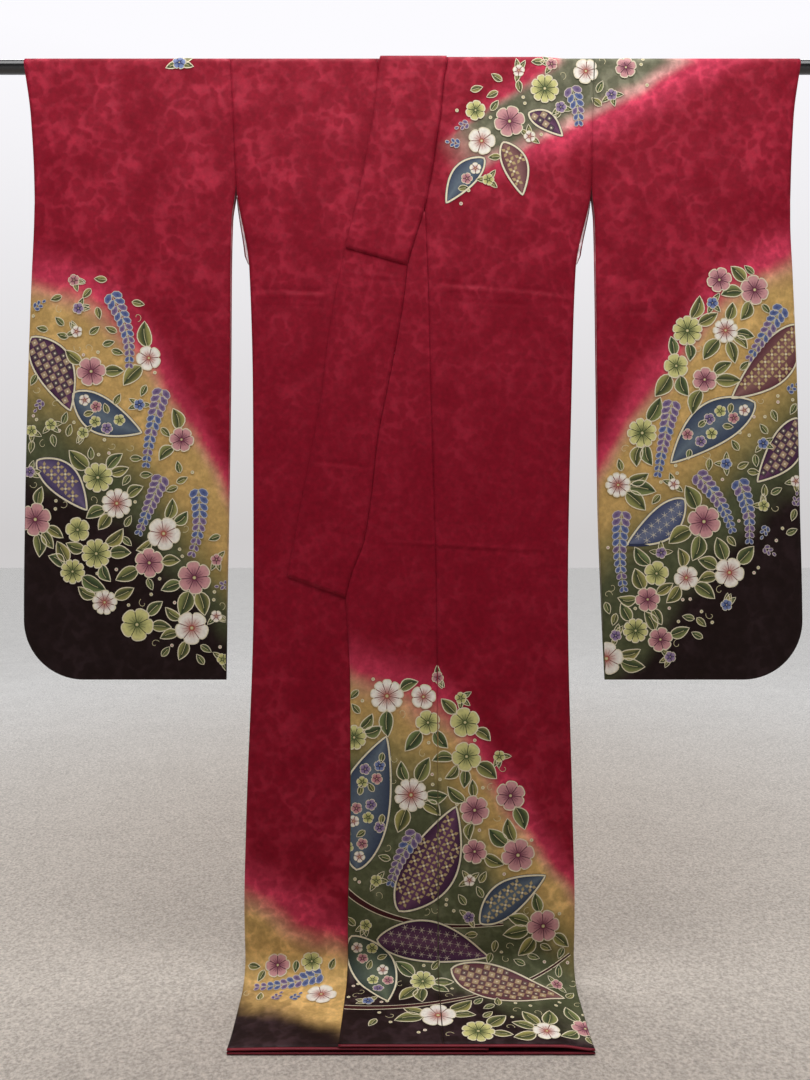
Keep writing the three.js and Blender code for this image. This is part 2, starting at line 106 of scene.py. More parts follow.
def wander(x, down, size, seed):
    """Smooth noise from -1 to 1 with lumps of about the given size."""
    lattice = np.random.default_rng(seed).uniform(-1, 1, (64, 64))
    u, v = np.asarray(x) / size + 31.7, np.asarray(down) / size + 7.3
    i, j = np.floor(u).astype(int), np.floor(v).astype(int)
    fu, fv = u - i, v - j
    fu, fv = fu * fu * (3 - 2 * fu), fv * fv * (3 - 2 * fv)
    low = mix(lattice[i % 64, j % 64], lattice[(i + 1) % 64, j % 64], fu)
    high = mix(lattice[i % 64, (j + 1) % 64], lattice[(i + 1) % 64, (j + 1) % 64], fu)
    return mix(low, high, fv)


def paint(red, green, blue):
    """A screen colour, 0 to 255, as the linear one that the shaders use."""
    c = np.array([red, green, blue]) / 255
    return np.where(c <= 0.04045, c / 12.92, ((c + 0.055) / 1.055) ** 2.4)


# ---------------------------------------------------------------- the garment's cut

# The bend above the floor, the hem laid forward from it, and the left front's step over the right one
BEND_RADIUS = 50.0
HEM_FORWARD = 191.0
FLOOR_HALF_DEPTH = 3.5
FLOOR_MIDDLE = FLOOR + WALL / 2 + FLOOR_HALF_DEPTH
BEND_START = -FLOOR_MIDDLE - BEND_RADIUS
BEND_END = BEND_START + BEND_RADIUS * math.pi / 2
HEM = BEND_END + HEM_FORWARD - BEND_RADIUS
OVERLAP_STEP, OVERLAP_STEP_ON_FLOOR = 2.4, 4.2
OVERLAP_FADE = (212, 255)
BODY_TAPER = 125.0
EDGE_HALF = (WALL + SEAM) / 2
# Places down the cloth
ARMHOLE, OPENING_END, CUFF = 198.0, 334.0, 230.0
COLLAR_END_AT_SEAM, COLLAR_END_AT_FREE_EDGE = 882.0, 847.0

BODY_DEPTH = table(
    "down half", (0, ROD_REACH), (250, 11.5), (1400, 11), (BEND_END, FLOOR_HALF_DEPTH),
    (HEM, FLOOR_HALF_DEPTH))
BODY_EDGE_DEPTH = table(
    "down half", (0, ROD_REACH), (87, 9.6), (ARMHOLE, 6.6), (OPENING_END, EDGE_HALF), (HEM - 45, EDGE_HALF),
    (HEM, 2.8))
BODY_SIDES = table(
    "down right left",
    (0, -300, 300), (ARMHOLE, -292, 297), (OPENING_END, -271, 272), (548, -265, 265), (882, -264, 259),
    (1253, -276, 267), (1395, -279, 270), (HEM, -266, 259))
COLLAR_LINES = table(
    "down seam free",
    (0, 58, -54), (30, 52, -58), (87, 47, -65), (117, 42, -70), (166, 35, -79), (198, 29, -85),
    (238, 21, -94), (293, 4, -108), (334, -7.5, -117), (382, -13, -127), (472, -28, -141),
    (548, -43, -150), (627, -58, -164), (710, -67, -180), (787, -79, -195),
    (COLLAR_END_AT_FREE_EDGE, -101, -207), (COLLAR_END_AT_SEAM, -110, -214))
NECK_HALF, COLLAR_REACH = COLLAR_LINES["seam"][0], -COLLAR_LINES["free"][0]
OVER_COLLAR_END_AT_SEAM, OVER_COLLAR_END_AT_FREE_EDGE = 334.0, 306.0
OVER_COLLAR_INSET, OVER_COLLAR_LIFT = 1.0, 1.8
NECK_DROP = 30.0
NECK_ROWS_UNDER_COLLAR = (0, 5, 10, 14, 18, 21, 23.5, 25.5, 27)
OKUMI_POINT, OKUMI_TOP = 238.0, 246.0
OKUMI_SEAM = table(
    "down x", (OKUMI_POINT, 21), (382, 27), (548, 31), (710, 36), (882, 40), (1130, 42), (HEM, 43))
OKUMI_EDGE = table(
    "down x", (COLLAR_END_AT_SEAM, -110), (1037, -102), (1253, -102), (1395, -106), (HEM, -107))
SLEEVE_LENGTH, SLEEVE_CORNER, SLEEVE_TAPER = 1018.0, 98.0, 95.0
CLOSED_HALF = WALL / 2 + 0.6
SLEEVE_EDGES = table(
    "down inner_right outer_right inner_left outer_left",
    (0, -300, -641, 300, 641), (87, -296.5, -631, 298.7, 631), (198, -292, -627, 297, 628),
    (255, -299, -628, 302, 628), (347, -301, -632, 304, 632), (515, -302, -638, 306, 639),
    (730, -305, -643, 309, 644), (900, -308, -645, 315, 648), (SLEEVE_LENGTH, -309, -645, 320, 649))
SLEEVE_DEPTH = table(
    "down middle inner outer",
    (0, ROD_REACH, ROD_REACH, ROD_REACH), (87, 11.8, 9.6, 8), (ARMHOLE, 11, 6.6, 4), (CUFF, 10.8, 6.2, 2.2),
    (262, 10.6, 6, CLOSED_HALF), (700, 9, 5, CLOSED_HALF), (920, 7.5, 4, CLOSED_HALF),
    (985, 4.5, 2.6, CLOSED_HALF), (SLEEVE_LENGTH, CLOSED_HALF, CLOSED_HALF, CLOSED_HALF))

ROLL_WIDTH, ROLL_THICKNESS = 5.0, 3.5
ROLL_RING_STEP, ROLL_SIDES = 6.0, 14
LINING_EDGE = table("down width", (214, 3), (260, 5), (314, 6.4), (328, 2))

# Creases and soft waves: from one point of the cloth to another, how wide they are, and how far they
# stand out of the cloth (a trough is negative).
BODY_FOLDS = table(
    "x0 down0 x1 down1 width height",
    (-262, 371, -128, 379, 4.5, -0.9), (-262, 379, -128, 386, 5, 0.7), (-256, 397, -126, 404, 4, -0.5),
    (25, 362, 268, 380, 4.5, -0.9), (25, 370, 268, 388, 5, 0.7), (28, 392, 226, 401, 4, -0.5),
    (-84, 788, 254, 806, 3.5, 0.8), (-60, 794, 250, 812, 4.5, -0.5), (214, 832, 255, 836, 4, -0.6),
    (157, 1269, 245, 1280, 4, -0.7), (176, 1118, 235, 1119, 3.5, -0.5), (40, 1322, 210, 1330, 4, -0.4),
    (-177, 862, -171, 905, 7, 0.8), (-171, 905, -142, 994, 7, 0.8), (-258, 1012, -150, 1018, 4, -0.5),
    (48, 387, 50, 600, 16, -1.0), (78, 420, 96, 760, 22, 1.1), (150, 200, 196, 420, 20, 1.0),
    (-214, 420, -196, 800, 24, 1.3), (-236, 110, -212, 330, 18, 1.0), (-160, 70, -150, 300, 20, -0.9),
    (-232, 900, -246, 1400, 22, 1.2), (-180, 1060, -188, 1440, 26, -1.2), (190, 520, 204, 1050, 26, 1.3),
    (128, 860, 142, 1380, 26, -1.3), (226, 1180, 232, 1455, 20, 1.1), (-40, 950, -52, 1420, 26, 1.2),
    (10, 640, 18, 1180, 22, -1.0), (76, 1200, 70, 1455, 22, 1.1), (110, 90, 150, 340, 20, -0.8))
BACK_FOLDS = table(
    "x0 down0 x1 down1 width height",
    (-262, 372, -20, 380, 4.5, -0.9), (-262, 380, -20, 388, 5, 0.7), (20, 381, 266, 370, 4.5, -0.9),
    (20, 389, 266, 378, 5, 0.7), (-250, 796, 250, 804, 4.5, -0.7), (-230, 1226, -60, 1219, 4.5, -0.6),
    (60, 1222, 240, 1231, 4.5, -0.6), (-210, 120, -182, 620, 24, 1.3), (-120, 300, -104, 900, 26, -1.2),
    (-60, 90, -48, 420, 20, 1.0), (70, 140, 92, 560, 24, 1.2), (160, 260, 178, 900, 26, -1.2),
    (214, 560, 226, 1180, 24, 1.3), (-206, 820, -222, 1420, 26, 1.4), (-90, 1000, -84, 1440, 24, 1.2),
    (60, 960, 48, 1430, 26, -1.3), (130, 1050, 146, 1440, 22, 1.1))
SLEEVE_FOLDS = {1: table(
    "x0 down0 x1 down1 width height",
    (312, 800, 462, 803, 3.5, 0.9), (314, 807, 450, 809, 4.5, -0.8), (320, 830, 388, 829, 4, -0.6),
    (310, 585, 384, 585, 4, -0.5), (334, 410, 402, 411, 4, -0.5), (520, 806, 630, 802, 4, -0.5),
    (372, 230, 362, 700, 22, 1.3), (446, 120, 452, 560, 26, -1.3), (520, 300, 536, 900, 26, 1.4),
    (590, 330, 596, 880, 20, -1.0), (398, 640, 392, 985, 22, 1.2), (470, 700, 464, 985, 24, -1.2),
    (340, 520, 344, 960, 16, -0.9), (574, 60, 560, 260, 20, 1.0)
), -1: table(
    "x0 down0 x1 down1 width height",
    (-470, 801, -330, 804, 4, -0.7), (-460, 809, -340, 811, 4.5, 0.6), (-620, 800, -540, 806, 4, -0.5),
    (-420, 412, -320, 409, 4, -0.5), (-366, 240, -352, 720, 22, 1.3), (-440, 90, -432, 560, 26, -1.3),
    (-520, 260, -530, 860, 26, 1.4), (-594, 300, -600, 860, 20, -1.0), (-404, 640, -396, 985, 22, 1.2),
    (-470, 720, -476, 985, 24, -1.2), (-338, 560, -342, 960, 16, -0.9), (-566, 60, -556, 260, 20, 1.0))}
BACK_FOLDS_SHIFT = 17.0
FADE_AT_ROD, FADE_ABOVE_BEND, FADE_AT_SLEEVE_END = (8, 60), (30, -60), (1010, 960)
COLLAR_FOLDS = table(
    "x0 down0 x1 down1 width height",
    (-118, 352, -14, 362, 4, -0.5), (-118, 346, -14, 356, 4, 0.5), (-172, 655, -62, 668, 4, -0.6),
    (-174, 663, -64, 676, 4.5, 0.6), (-200, 800, -96, 822, 14, 0.9), (-186, 768, -84, 782, 5, -0.4),
    (-60, 90, 40, 98, 4, -0.4), (-90, 215, 16, 226, 4, -0.4))


def relief(folds, x, down):
    """How far the folds of a table stand out of the cloth at points of it."""
    total = np.zeros(np.broadcast(x, down).shape)
    for x0, down0, x1, down1, width, height in zip(*folds.values()):
        run = np.array([x1 - x0, down1 - down0])
        along = ((x - x0) * run[0] + (down - down0) * run[1]) / (run @ run)
        t = np.clip(along, 0, 1)
        apart = np.hypot(x - x0 - t * run[0], down - down0 - t * run[1])
        uneven = 1 + 0.3 * np.sin(along * 9 + x0)
        ends = ease(along, -0.02, 0.22) * ease(-along, -1.02, -0.78)
        total = total + height * uneven * ends * np.exp(-((apart / width) ** 2))
    return total


def place(x, down, out):
    """Points of the hanging cloth, of its bend and of the part on the floor, in millimetres."""
    turn = np.clip((down - BEND_START) / BEND_RADIUS, 0, math.pi / 2)
    y = -BEND_RADIUS * (1 - np.cos(turn)) - np.maximum(down - BEND_END, 0) + out * np.cos(turn)
    z = -np.minimum(down, BEND_START) - (BEND_RADIUS + out) * np.sin(turn)
    return np.stack(np.broadcast_arrays(x, y, z), -1)


def over_rod(x, angle, reach):
    """Points on the way over the rod: angle 0 is its front, a half turn its back."""
    return np.stack(np.broadcast_arrays(x, -reach * np.cos(angle), reach * np.sin(angle)), -1)


def body_half_depth(x, down):
    """Half the depth between the garment's front and back, less towards the sides."""
    edge = np.where(x < 0, -at(BODY_SIDES, "right", down), at(BODY_SIDES, "left", down))
    inset = np.clip((edge - np.abs(x)) / BODY_TAPER, 0, 1)
    side = at(BODY_EDGE_DEPTH, "half", down)
    return side + (at(BODY_DEPTH, "half", down) - side) * (1 - (1 - inset) ** 2)


def plain_back(x, down):
    """The back without its folds, flat across once it lies on the floor."""
    return mix(body_half_depth(x, down), at(BODY_DEPTH, "half", down), ease(down, BEND_START, BEND_END))


def relief_fade(down):
    """Folds die out towards the rod and on the floor."""
    return ease(down, *FADE_AT_ROD) * ease(-down, *(-BEND_START - past for past in FADE_ABOVE_BEND))


def back_out(x, down):
    return plain_back(x, down) + relief(BACK_FOLDS, x, down) * relief_fade(down)


def lower_front_out(x, down):
    """The wearer's right front."""
    plain = plain_back(x, down) - 2 * body_half_depth(x, down)
    return plain - relief(BODY_FOLDS, x, down) * relief_fade(down)


def upper_front_out(x, down):
    """The wearer's left front, which lies over the right one."""
    step = mix(OVERLAP_STEP, OVERLAP_STEP_ON_FLOOR, ease(down, BEND_START, BEND_END))
    return lower_front_out(x, down) - step * (1 - ease(x, *OVERLAP_FADE))


def collar_out(x, down):
    """The collar has creases of its own on top of the front's form."""
    return upper_front_out(x, down) - relief(COLLAR_FOLDS, x, down)


def sleeve_half_depth(share, width, down):
    """Half a sleeve's depth at a share of its width, less towards both edges."""
    middle = half = at(SLEEVE_DEPTH, "middle", down)
    for column, inset in (("inner", share), ("outer", 1 - share)):
        taper = (1 - np.clip(inset * width / SLEEVE_TAPER, 0, 1)) ** 2
        half = half - (middle - at(SLEEVE_DEPTH, column, down)) * taper
    return half


def drawn_in(down):
    """How far the sleeve's round corner draws its outer edge in."""
    rise = np.clip(np.asarray(down, float) - (SLEEVE_LENGTH - SLEEVE_CORNER), 0, SLEEVE_CORNER)
    return SLEEVE_CORNER - np.sqrt(SLEEVE_CORNER**2 - rise**2)


def sleeve_edges(side, down):
    """A sleeve's inner and outer edge."""
    return (at(SLEEVE_EDGES, "inner_" + HAND[side], down) + side * SEAM,
            at(SLEEVE_EDGES, "outer_" + HAND[side], down) - side * drawn_in(down))


def sleeve_point(side, face, x, down, lift=0.0):
    """Points of a sleeve's front or back, raised by lift, in millimetres."""
    inner, outer = sleeve_edges(side, down)
    share = np.clip((x - inner) / (outer - inner), 0, 1)
    half = sleeve_half_depth(share, np.abs(outer - inner), down)
    shifted = x if face < 0 else x + BACK_FOLDS_SHIFT
    edge = np.minimum(share, 1 - share)
    wave = relief(SLEEVE_FOLDS[side], shifted, down) * ease(down, *FADE_AT_ROD)
    wave = wave * ease(down, *FADE_AT_SLEEVE_END) * ease(edge, 0, 0.06)
    return np.stack(np.broadcast_arrays(x, face * (half + wave + lift), -down), -1)


# ---------------------------------------------------------------- dyes

CRIMSON = paint(139, 7, 34)
CARMINE = paint(204, 56, 86)
TAN = paint(206, 160, 122)
GOLD = paint(200, 162, 98)
OLIVE = paint(138, 126, 76)
GREEN = paint(84, 88, 60)
BROWN = paint(33, 18, 16)
MOSS = paint(94, 100, 76)
CHALK = paint(204, 184, 168)
PALE_LINING = paint(250, 230, 232)
WINE = paint(104, 20, 34)
INK = paint(12, 12, 14)

# How far down one dye gives way to the next, at places across the cloth
SLEEVE_RIGHT_DYES = table(
    "x gold green dark",
    (-640, 372, 560, 672), (-540, 412, 600, 722), (-487, 448, 640, 760), (-437, 500, 690, 805),
    (-412, 535, 715, 832), (-353, 632, 812, 905), (-307, 735, 880, 968))
SLEEVE_LEFT_DYES = table(
    "x gold green dark",
    (308, 692, 808, 1045), (380, 584, 772, 990), (447, 488, 735, 885), (520, 397, 672, 795),
    (580, 362, 600, 735), (645, 340, 537, 692))
HEM_LEFT_DYES = table(
    "x gold green dark",
    (-110, 1036, 1128, 1500), (-40, 1052, 1130, 1512), (47, 1084, 1172, 1535), (100, 1146, 1262, 1560),
    (147, 1222, 1345, 1592), (210, 1306, 1424, 1618), (270, 1402, 1484, 1650))
PAST_HEM = 2000.0
HEM_RIGHT_DYES = table(
    "x gold green dark",
    (-280, 1396, PAST_HEM, 1548), (-200, 1434, PAST_HEM, 1592), (-110, 1482, PAST_HEM, 1660),
    (110, 1560, PAST_HEM, 1690))
HEM_BACK_DYES = table(
    "x gold green dark",
    (-280, 1398, 1524, 1550), (-160, 1352, 1452, 1525), (-40, 1300, 1402, 1515), (80, 1290, 1398, 1530),
    (180, 1340, 1440, 1580), (275, 1402, 1484, 1650))
BAND_TOP, BAND_END = np.array([344.0, -8.0]), np.array([88.0, 142.0])


def dyed(dyes, x, down, seed):
    """Crimson above, then carmine, gold, green and dark brown, each brushed into the next."""
    drift = 16 * wander(x, down, 70, seed) + 5 * wander(x, down, 18, seed + 1)
    gold, green, dark = (
        down + drifting * drift - np.interp(x, dyes["x"], dyes[column])
        for column, drifting in (("gold", 1), ("green", 1), ("dark", 1.4)))
    colour = CRIMSON
    for dye, below, start, end, strength in (
            (CARMINE, gold, -105, -22, 0.85), (TAN, gold, -36, 4, 0.85), (GOLD, gold, -10, 26, 1),
            (OLIVE, green, -70, 0, 0.8), (GREEN, green, -20, 60, 1), (BROWN, dark, -42, 34, 1)):
        colour = mix(colour, dye, ease(below, start, end)[:, None] * strength)
    return colour


def shoulder_band(colour, x, down):
    """The mossy band over the left shoulder, pale along its lower edge."""
    run = BAND_END - BAND_TOP
    along = ((x - BAND_TOP[0]) * run[0] + (down - BAND_TOP[1]) * run[1]) / (run @ run)
    across = ((x - BAND_TOP[0]) * run[1] - (down - BAND_TOP[1]) * run[0]) / np.hypot(*run)
    across = -across + 6 * wander(x, down, 40, 21)
    half = mix(60, 34, np.clip(along, 0, 1))
    reach = ease(-along, -1.16, -0.84)
    for dye, below, start, end, strength in (
            (CARMINE, 12, 0.8, 2.0, 0.9), (CHALK, 6, 0.84, 1.14, 0.6), (MOSS, 0, 0.62, 1.02, 0.95)):
        cover = (1 - ease(np.abs(across + below) / half, start, end)) * reach
        colour = mix(colour, dye, cover[:, None] * strength)
    return colour


def dye_sleeve_right(x, down, face):
    return dyed(SLEEVE_RIGHT_DYES, x, down, 3)


def dye_sleeve_left(x, down, face):
    return shoulder_band(dyed(SLEEVE_LEFT_DYES, x, down, 5), x, down)


def dye_front_left(x, down, face):
    colour = shoulder_band(dyed(HEM_LEFT_DYES, x, down, 7), x, down)
    return np.where(face[:, None] < 0, colour, dye_back(x, down, face))


def dye_front_right(x, down, face):
    return np.where(face[:, None] < 0, dyed(HEM_RIGHT_DYES, x, down, 9), dye_back(x, down, face))


def dye_back(x, down, face):
    return shoulder_band(dyed(HEM_BACK_DYES, x, down, 11), x, down)


def dye_collar(x, down, face):
    return np.tile(CRIMSON, (len(x), 1))


def dye_lining(x, down, face):
    """Pale silk above, wine-red skirt lining below."""
    return mix(PALE_LINING, WINE, ease(down, 930, 932)[:, None])


# ---------------------------------------------------------------- meshes

ROD_STEPS = 16
ROW_STEP, BACK_ROW_STEP, COLLAR_ROW_STEP = 8.0, 9.0, 7.0
NECK_ROWS_BELOW_COLLAR = (28.2, 29, 29.6, NECK_DROP)
FIRST_BACK_ROW = 38.0
CLOSED_GAP = 0.05
BODY_COLUMNS, OKUMI_COLUMNS, COLLAR_COLUMNS, SLEEVE_COLUMNS = 42, 22, 18, 48
SLEEVE_BULGE = 1.0
FRONT_OUT = {1: upper_front_out, -1: lower_front_out}


def into_scene(name, data):
    """A new object in the scene with the given mesh, light or camera."""
    made = bpy.data.objects.new(name, data)
    bpy.context.scene.collection.objects.link(made)
    return made


def new_mesh(name, points, faces, material, colours=None):
    """A smooth mesh object from arrays: points in millimetres, faces with three or four corners each."""
    mesh = bpy.data.meshes.new(name)
    corners = faces.shape[1]
    mesh.vertices.add(len(points))
    mesh.vertices.foreach_set("co", (points * MM).astype(np.float32).ravel())
    mesh.loops.add(faces.size)
    mesh.loops.foreach_set("vertex_index", faces.astype(np.int32).ravel())
    mesh.polygons.add(len(faces))
    mesh.polygons.foreach_set("loop_start", np.arange(0, faces.size, corners, dtype=np.int32))
    mesh.polygons.foreach_set("use_smooth", np.ones(len(faces), bool))
    if colours is not None:
        dye = mesh.attributes.new("Dye", "FLOAT_COLOR", "POINT")
        rgba = np.ones((len(points), 4), np.float32)
        rgba[:, :3] = colours
        dye.data.foreach_set("color", rgba.ravel())
    mesh.update(calc_edges=True)
    mesh.validate()
    mesh.materials.append(material)
    return into_scene(name, mesh)


class Sheet:
    """Rows of points, all of one length, joined into four-sided faces, with their place in the pattern."""

    def __init__(self):
        self.rows, self.pattern = [], []

    def add(self, points, x, down, face):
        self.rows.append(points)
        self.pattern.append(np.stack(np.broadcast_arrays(x, down, face), -1).astype(float))

    def join(self):
        self.points, self.spots = np.concatenate(self.rows), np.concatenate(self.pattern)
        self.wide = wide = len(self.rows[0])
        corner = (np.arange(len(self.rows) - 1)[:, None] * wide + np.arange(wide - 1)).ravel()
        self.faces = np.stack([corner, corner + 1, corner + wide + 1, corner + wide], -1)

    def area(self):
        """The cloth's own area in square metres."""
        a, b, c, d = (self.points[self.faces[:, k]] for k in range(4))
        return float(np.linalg.norm(np.cross(c - a, d - b), axis=1).sum() / 2 * MM * MM)


def shell(name, sheet, dye, side, lining):
    """A closed thin shell on a sheet: dyed outside and at its rim, lined inside."""
    faces = sheet.faces if side > 0 else sheet.faces[:, ::-1]
    points, count = sheet.points, len(sheet.points)
    across, up = (points[faces[:, k + 2]] - points[faces[:, k]] for k in (0, 1))
    normals = np.zeros_like(points)
    for k in range(4):
        np.add.at(normals, faces[:, k], np.cross(across, up))
    normals /= np.linalg.norm(normals, axis=1)[:, None]
    starts, ends = faces.ravel(), np.roll(faces, -1, axis=1).ravel()
    here, there = starts * count + ends, ends * count + starts
    rim = ~np.isin(here, there)
    a, b = starts[rim], ends[rim]
    walls = np.stack([b, a, a + count, b + count], -1)
    outside, inside = dye(*sheet.spots.T), lining(*sheet.spots.T)
    inside[a] = outside[a]
    return new_mesh(
        name, np.concatenate([points + normals * SHELL / 2, points - normals * SHELL / 2]),
        np.concatenate([faces, faces[:, ::-1] + count, walls]), SILK, np.concatenate([outside, inside]))


def steps(start, end, step, folds):
    """Places down the cloth, close together where its table of folds has narrow level creases."""
    marks = [np.linspace(start, end, max(2, round((end - start) / step) + 1))]
    level = (np.abs(folds["down1"] - folds["down0"]) < 40) & (folds["width"] < 8)
    for low, high in zip(folds["down0"][level], folds["down1"][level]):
        marks.append(np.arange(min(low, high) - 9, max(low, high) + 9, 2.2))
    marks = np.unique(np.concatenate(marks))
    marks = marks[(marks >= start) & (marks <= end)]
    keep = np.concatenate([[True], np.diff(marks) > 1.0])
    keep[-1] = True
    return marks[keep]


def add_row(sheet, x, down, out, face):
    """A row across the hanging cloth."""
    sheet.add(place(x, down, out), x, down, face)


def add_rod_rows(sheet, x, near, far, arc=1.0):
    """Rows over the rod, arc of the whole way: near and far are how far from its axis they start and end."""
    for i in range(1, ROD_STEPS):
        share = i / ROD_STEPS
        if share < arc:
            reach = mix(near, far, ease(share, 0.5, 1))
            sheet.add(over_rod(x, math.pi * share, reach), x, 0.0, -1.0 if share < 0.5 else 1.0)


def front_inner_edge(down):
    """The seam with the collar, and below the okumi's point the seam with the okumi."""
    return np.where(down < OKUMI_POINT, at(COLLAR_LINES, "seam", down), at(OKUMI_SEAM, "x", down))


def back_inner_edge(down):
    """The back's half neck opening, and the seam down its middle."""
    return max(NECK_HALF * math.sqrt(max(0.0, 1 - (down / NECK_DROP) ** 2)), SEAM / 2)


def body_sheet(side):
    sheet = Sheet()
    for down in steps(0, HEM, ROW_STEP, BODY_FOLDS)[::-1]:
        x = np.linspace(side * front_inner_edge(down), at(BODY_SIDES, HAND[side], down), BODY_COLUMNS + 1)
        add_row(sheet, x, down, FRONT_OUT[side](x, np.full_like(x, down)), -1)
    x = np.linspace(side * NECK_HALF, at(BODY_SIDES, HAND[side], 0), BODY_COLUMNS + 1)
    add_rod_rows(sheet, x, -FRONT_OUT[side](x, 0 * x), back_out(x, 0 * x))
    lower = steps(FIRST_BACK_ROW, HEM, BACK_ROW_STEP, BACK_FOLDS)
    for down in np.concatenate([NECK_ROWS_UNDER_COLLAR, NECK_ROWS_BELOW_COLLAR, lower]):
        x = np.linspace(side * back_inner_edge(down), at(BODY_SIDES, HAND[side], down), BODY_COLUMNS + 1)
        add_row(sheet, x, down, back_out(x, np.full_like(x, down)), 1)
    sheet.join()
    return sheet


def collar_gap(side):
    """The seam's line shows on the left front; the hidden one is closed, so nothing is seen through both."""
    return SEAM if side > 0 else CLOSED_GAP


def okumi_sheet(side):
    sheet = Sheet()
    for down in steps(OKUMI_TOP, HEM, ROW_STEP, BODY_FOLDS)[::-1]:
        free = at(OKUMI_EDGE, "x", down)
        if down < COLLAR_END_AT_SEAM:
            free = at(COLLAR_LINES, "seam", down) + collar_gap(side)
        x = np.linspace(side * free, side * (at(OKUMI_SEAM, "x", down) - SEAM), OKUMI_COLUMNS + 1)
        add_row(sheet, x, down, FRONT_OUT[side](x, np.full_like(x, down)), -1)
    sheet.join()
    return sheet


def collar_sheet(side, out_of, lift, end_at_seam, end_at_free_edge, inset, arc=1.0):
    """The opened collar from its slanting end on the front, up over the rod and down to the nape."""
    sheet, share = Sheet(), np.linspace(0, 1, COLLAR_COLUMNS + 1)
    for seam_down in steps(0, end_at_seam, COLLAR_ROW_STEP, COLLAR_FOLDS)[::-1]:
        free_down = seam_down * end_at_free_edge / end_at_seam
        x = mix(side * (at(COLLAR_LINES, "free", free_down) + inset),
                side * (at(COLLAR_LINES, "seam", seam_down) - collar_gap(side) - inset), share)
        down = mix(free_down, seam_down, share)
        add_row(sheet, x, down, out_of(x, down) - lift, -1)
    x = np.linspace(side * (inset - COLLAR_REACH), side * (NECK_HALF - SEAM - inset), COLLAR_COLUMNS + 1)
    near = ROD_REACH + lift + (OVERLAP_STEP if side > 0 else 0)
    add_rod_rows(sheet, x, near, ROD_REACH + lift, arc)
    if arc == 1:
        for down in NECK_ROWS_UNDER_COLLAR:
            half = back_inner_edge(down) - SEAM - inset
            x = np.linspace(max(-half, inset - COLLAR_REACH), half, COLLAR_COLUMNS + 1)
            add_row(sheet, x, down, back_out(x, np.full_like(x, down)) + lift, 1)
    sheet.join()
    return sheet


def sleeve_sheet(side):
    """One length over the rod, closed by a rounded strip down the outer edge and along the bottom."""
    start = SLEEVE_LENGTH - SLEEVE_CORNER
    corner = SLEEVE_LENGTH - SLEEVE_CORNER * (1 - np.sin(np.linspace(0, math.pi / 2, 22)))
    upper = [steps(*reach, ROW_STEP, SLEEVE_FOLDS[side]) for reach in ((0, CUFF), (CUFF, start - 1))]
    rows = np.concatenate([np.unique(np.concatenate(upper)), corner])
    sheet = Sheet()
    for face, order in ((-1, rows[::-1]), (1, rows)):
        if face > 0:
            x = np.linspace(*sleeve_edges(side, 0.0), SLEEVE_COLUMNS + 1)
            add_rod_rows(sheet, x, ROD_REACH, ROD_REACH)
        for down in order:
            x = np.linspace(*sleeve_edges(side, down), SLEEVE_COLUMNS + 1)
            sheet.add(sleeve_point(side, face, x, np.full_like(x, down)), x, down, face)
    sheet.join()
    close_sleeve(sheet, side, rows)
    return sheet


def close_sleeve(sheet, side, rows):
    """Joins the front and back from the cuff down the outer edge, round the corner and along the bottom."""
    count, total = len(rows), len(sheet.rows)
    cuff_row = int(np.searchsorted(rows, CUFF - 0.01))
    contour = [(i, SLEEVE_COLUMNS) for i in range(cuff_row, count)]
    contour += [(count - 1, j) for j in range(SLEEVE_COLUMNS - 1, -1, -1)]
    front = np.array([(count - 1 - i) * sheet.wide + j for i, j in contour])
    back = np.array([(total - count + i) * sheet.wide + j for i, j in contour])
    line = (sheet.points[front] + sheet.points[back]) / 2
    along = np.gradient(line, axis=0)
    away = np.stack([-along[:, 2] * side, 0 * along[:, 0], along[:, 0] * side], -1)
    away /= np.maximum(np.linalg.norm(away, axis=1), 1e-9)[:, None]
    middle = len(sheet.points) + np.arange(len(front))
    sheet.points = np.concatenate([sheet.points, line + away * SLEEVE_BULGE])
    sheet.spots = np.concatenate([sheet.spots, sheet.spots[front]])
    strips = [np.stack([front[:-1], front[1:], middle[1:], middle[:-1]], -1),
              np.stack([middle[:-1], middle[1:], back[1:], back[:-1]], -1)]
    sheet.faces = np.concatenate([sheet.faces, *strips])


# ---------------------------------------------------------------- materials


class Nodes:
    """A node tree in which one call makes a node, sets it up and links it."""

    def __init__(self, tree):
        self.tree = tree

    def feed(self, target, sockets):
        """Sets a node's sockets, by name or number, to values or to other nodes' outputs."""
        for key, value in sockets.items():
            if isinstance(value, bpy.types.NodeSocket):
                self.tree.links.new(value, target.inputs[key])
            else:
                target.inputs[key].default_value = value

    def add(self, kind, output=0, sockets=None, **settings):
        """One output of a new node."""
        made = self.tree.nodes.new("ShaderNode" + kind)
        for key, value in settings.items():
            setattr(made, key, value)
        self.feed(made, sockets or {})
        return made.outputs[output]

    def range(self, value, start, end, low=0.0, high=1.0, kind="LINEAR"):
        """The value with start to end spread over low to high."""
        sockets = {"Value": value, "From Min": start, "From Max": end, "To Min": low, "To Max": high}
        return self.add("MapRange", "Result", sockets, interpolation_type=kind)

    def math(self, operation, *values):
        return self.add("Math", 0, dict(enumerate(values)), operation=operation)

    def vector(self, operation, *values):
        return self.add("VectorMath", 0, dict(enumerate(values)), operation=operation)

    def scaled(self, colour, factor):
        return self.add("VectorMath", 0, {0: colour, "Scale": factor}, operation="SCALE")

    def ramp(self, value, low, high, end=1.0):
        """The colour low at 0 and high at end."""
        made = self.add("ValToRGB", "Color", {"Fac": value})
        first, last = made.node.color_ramp.elements
        first.color, last.color, last.position = (*low, 1), (*high, 1), end
        return made


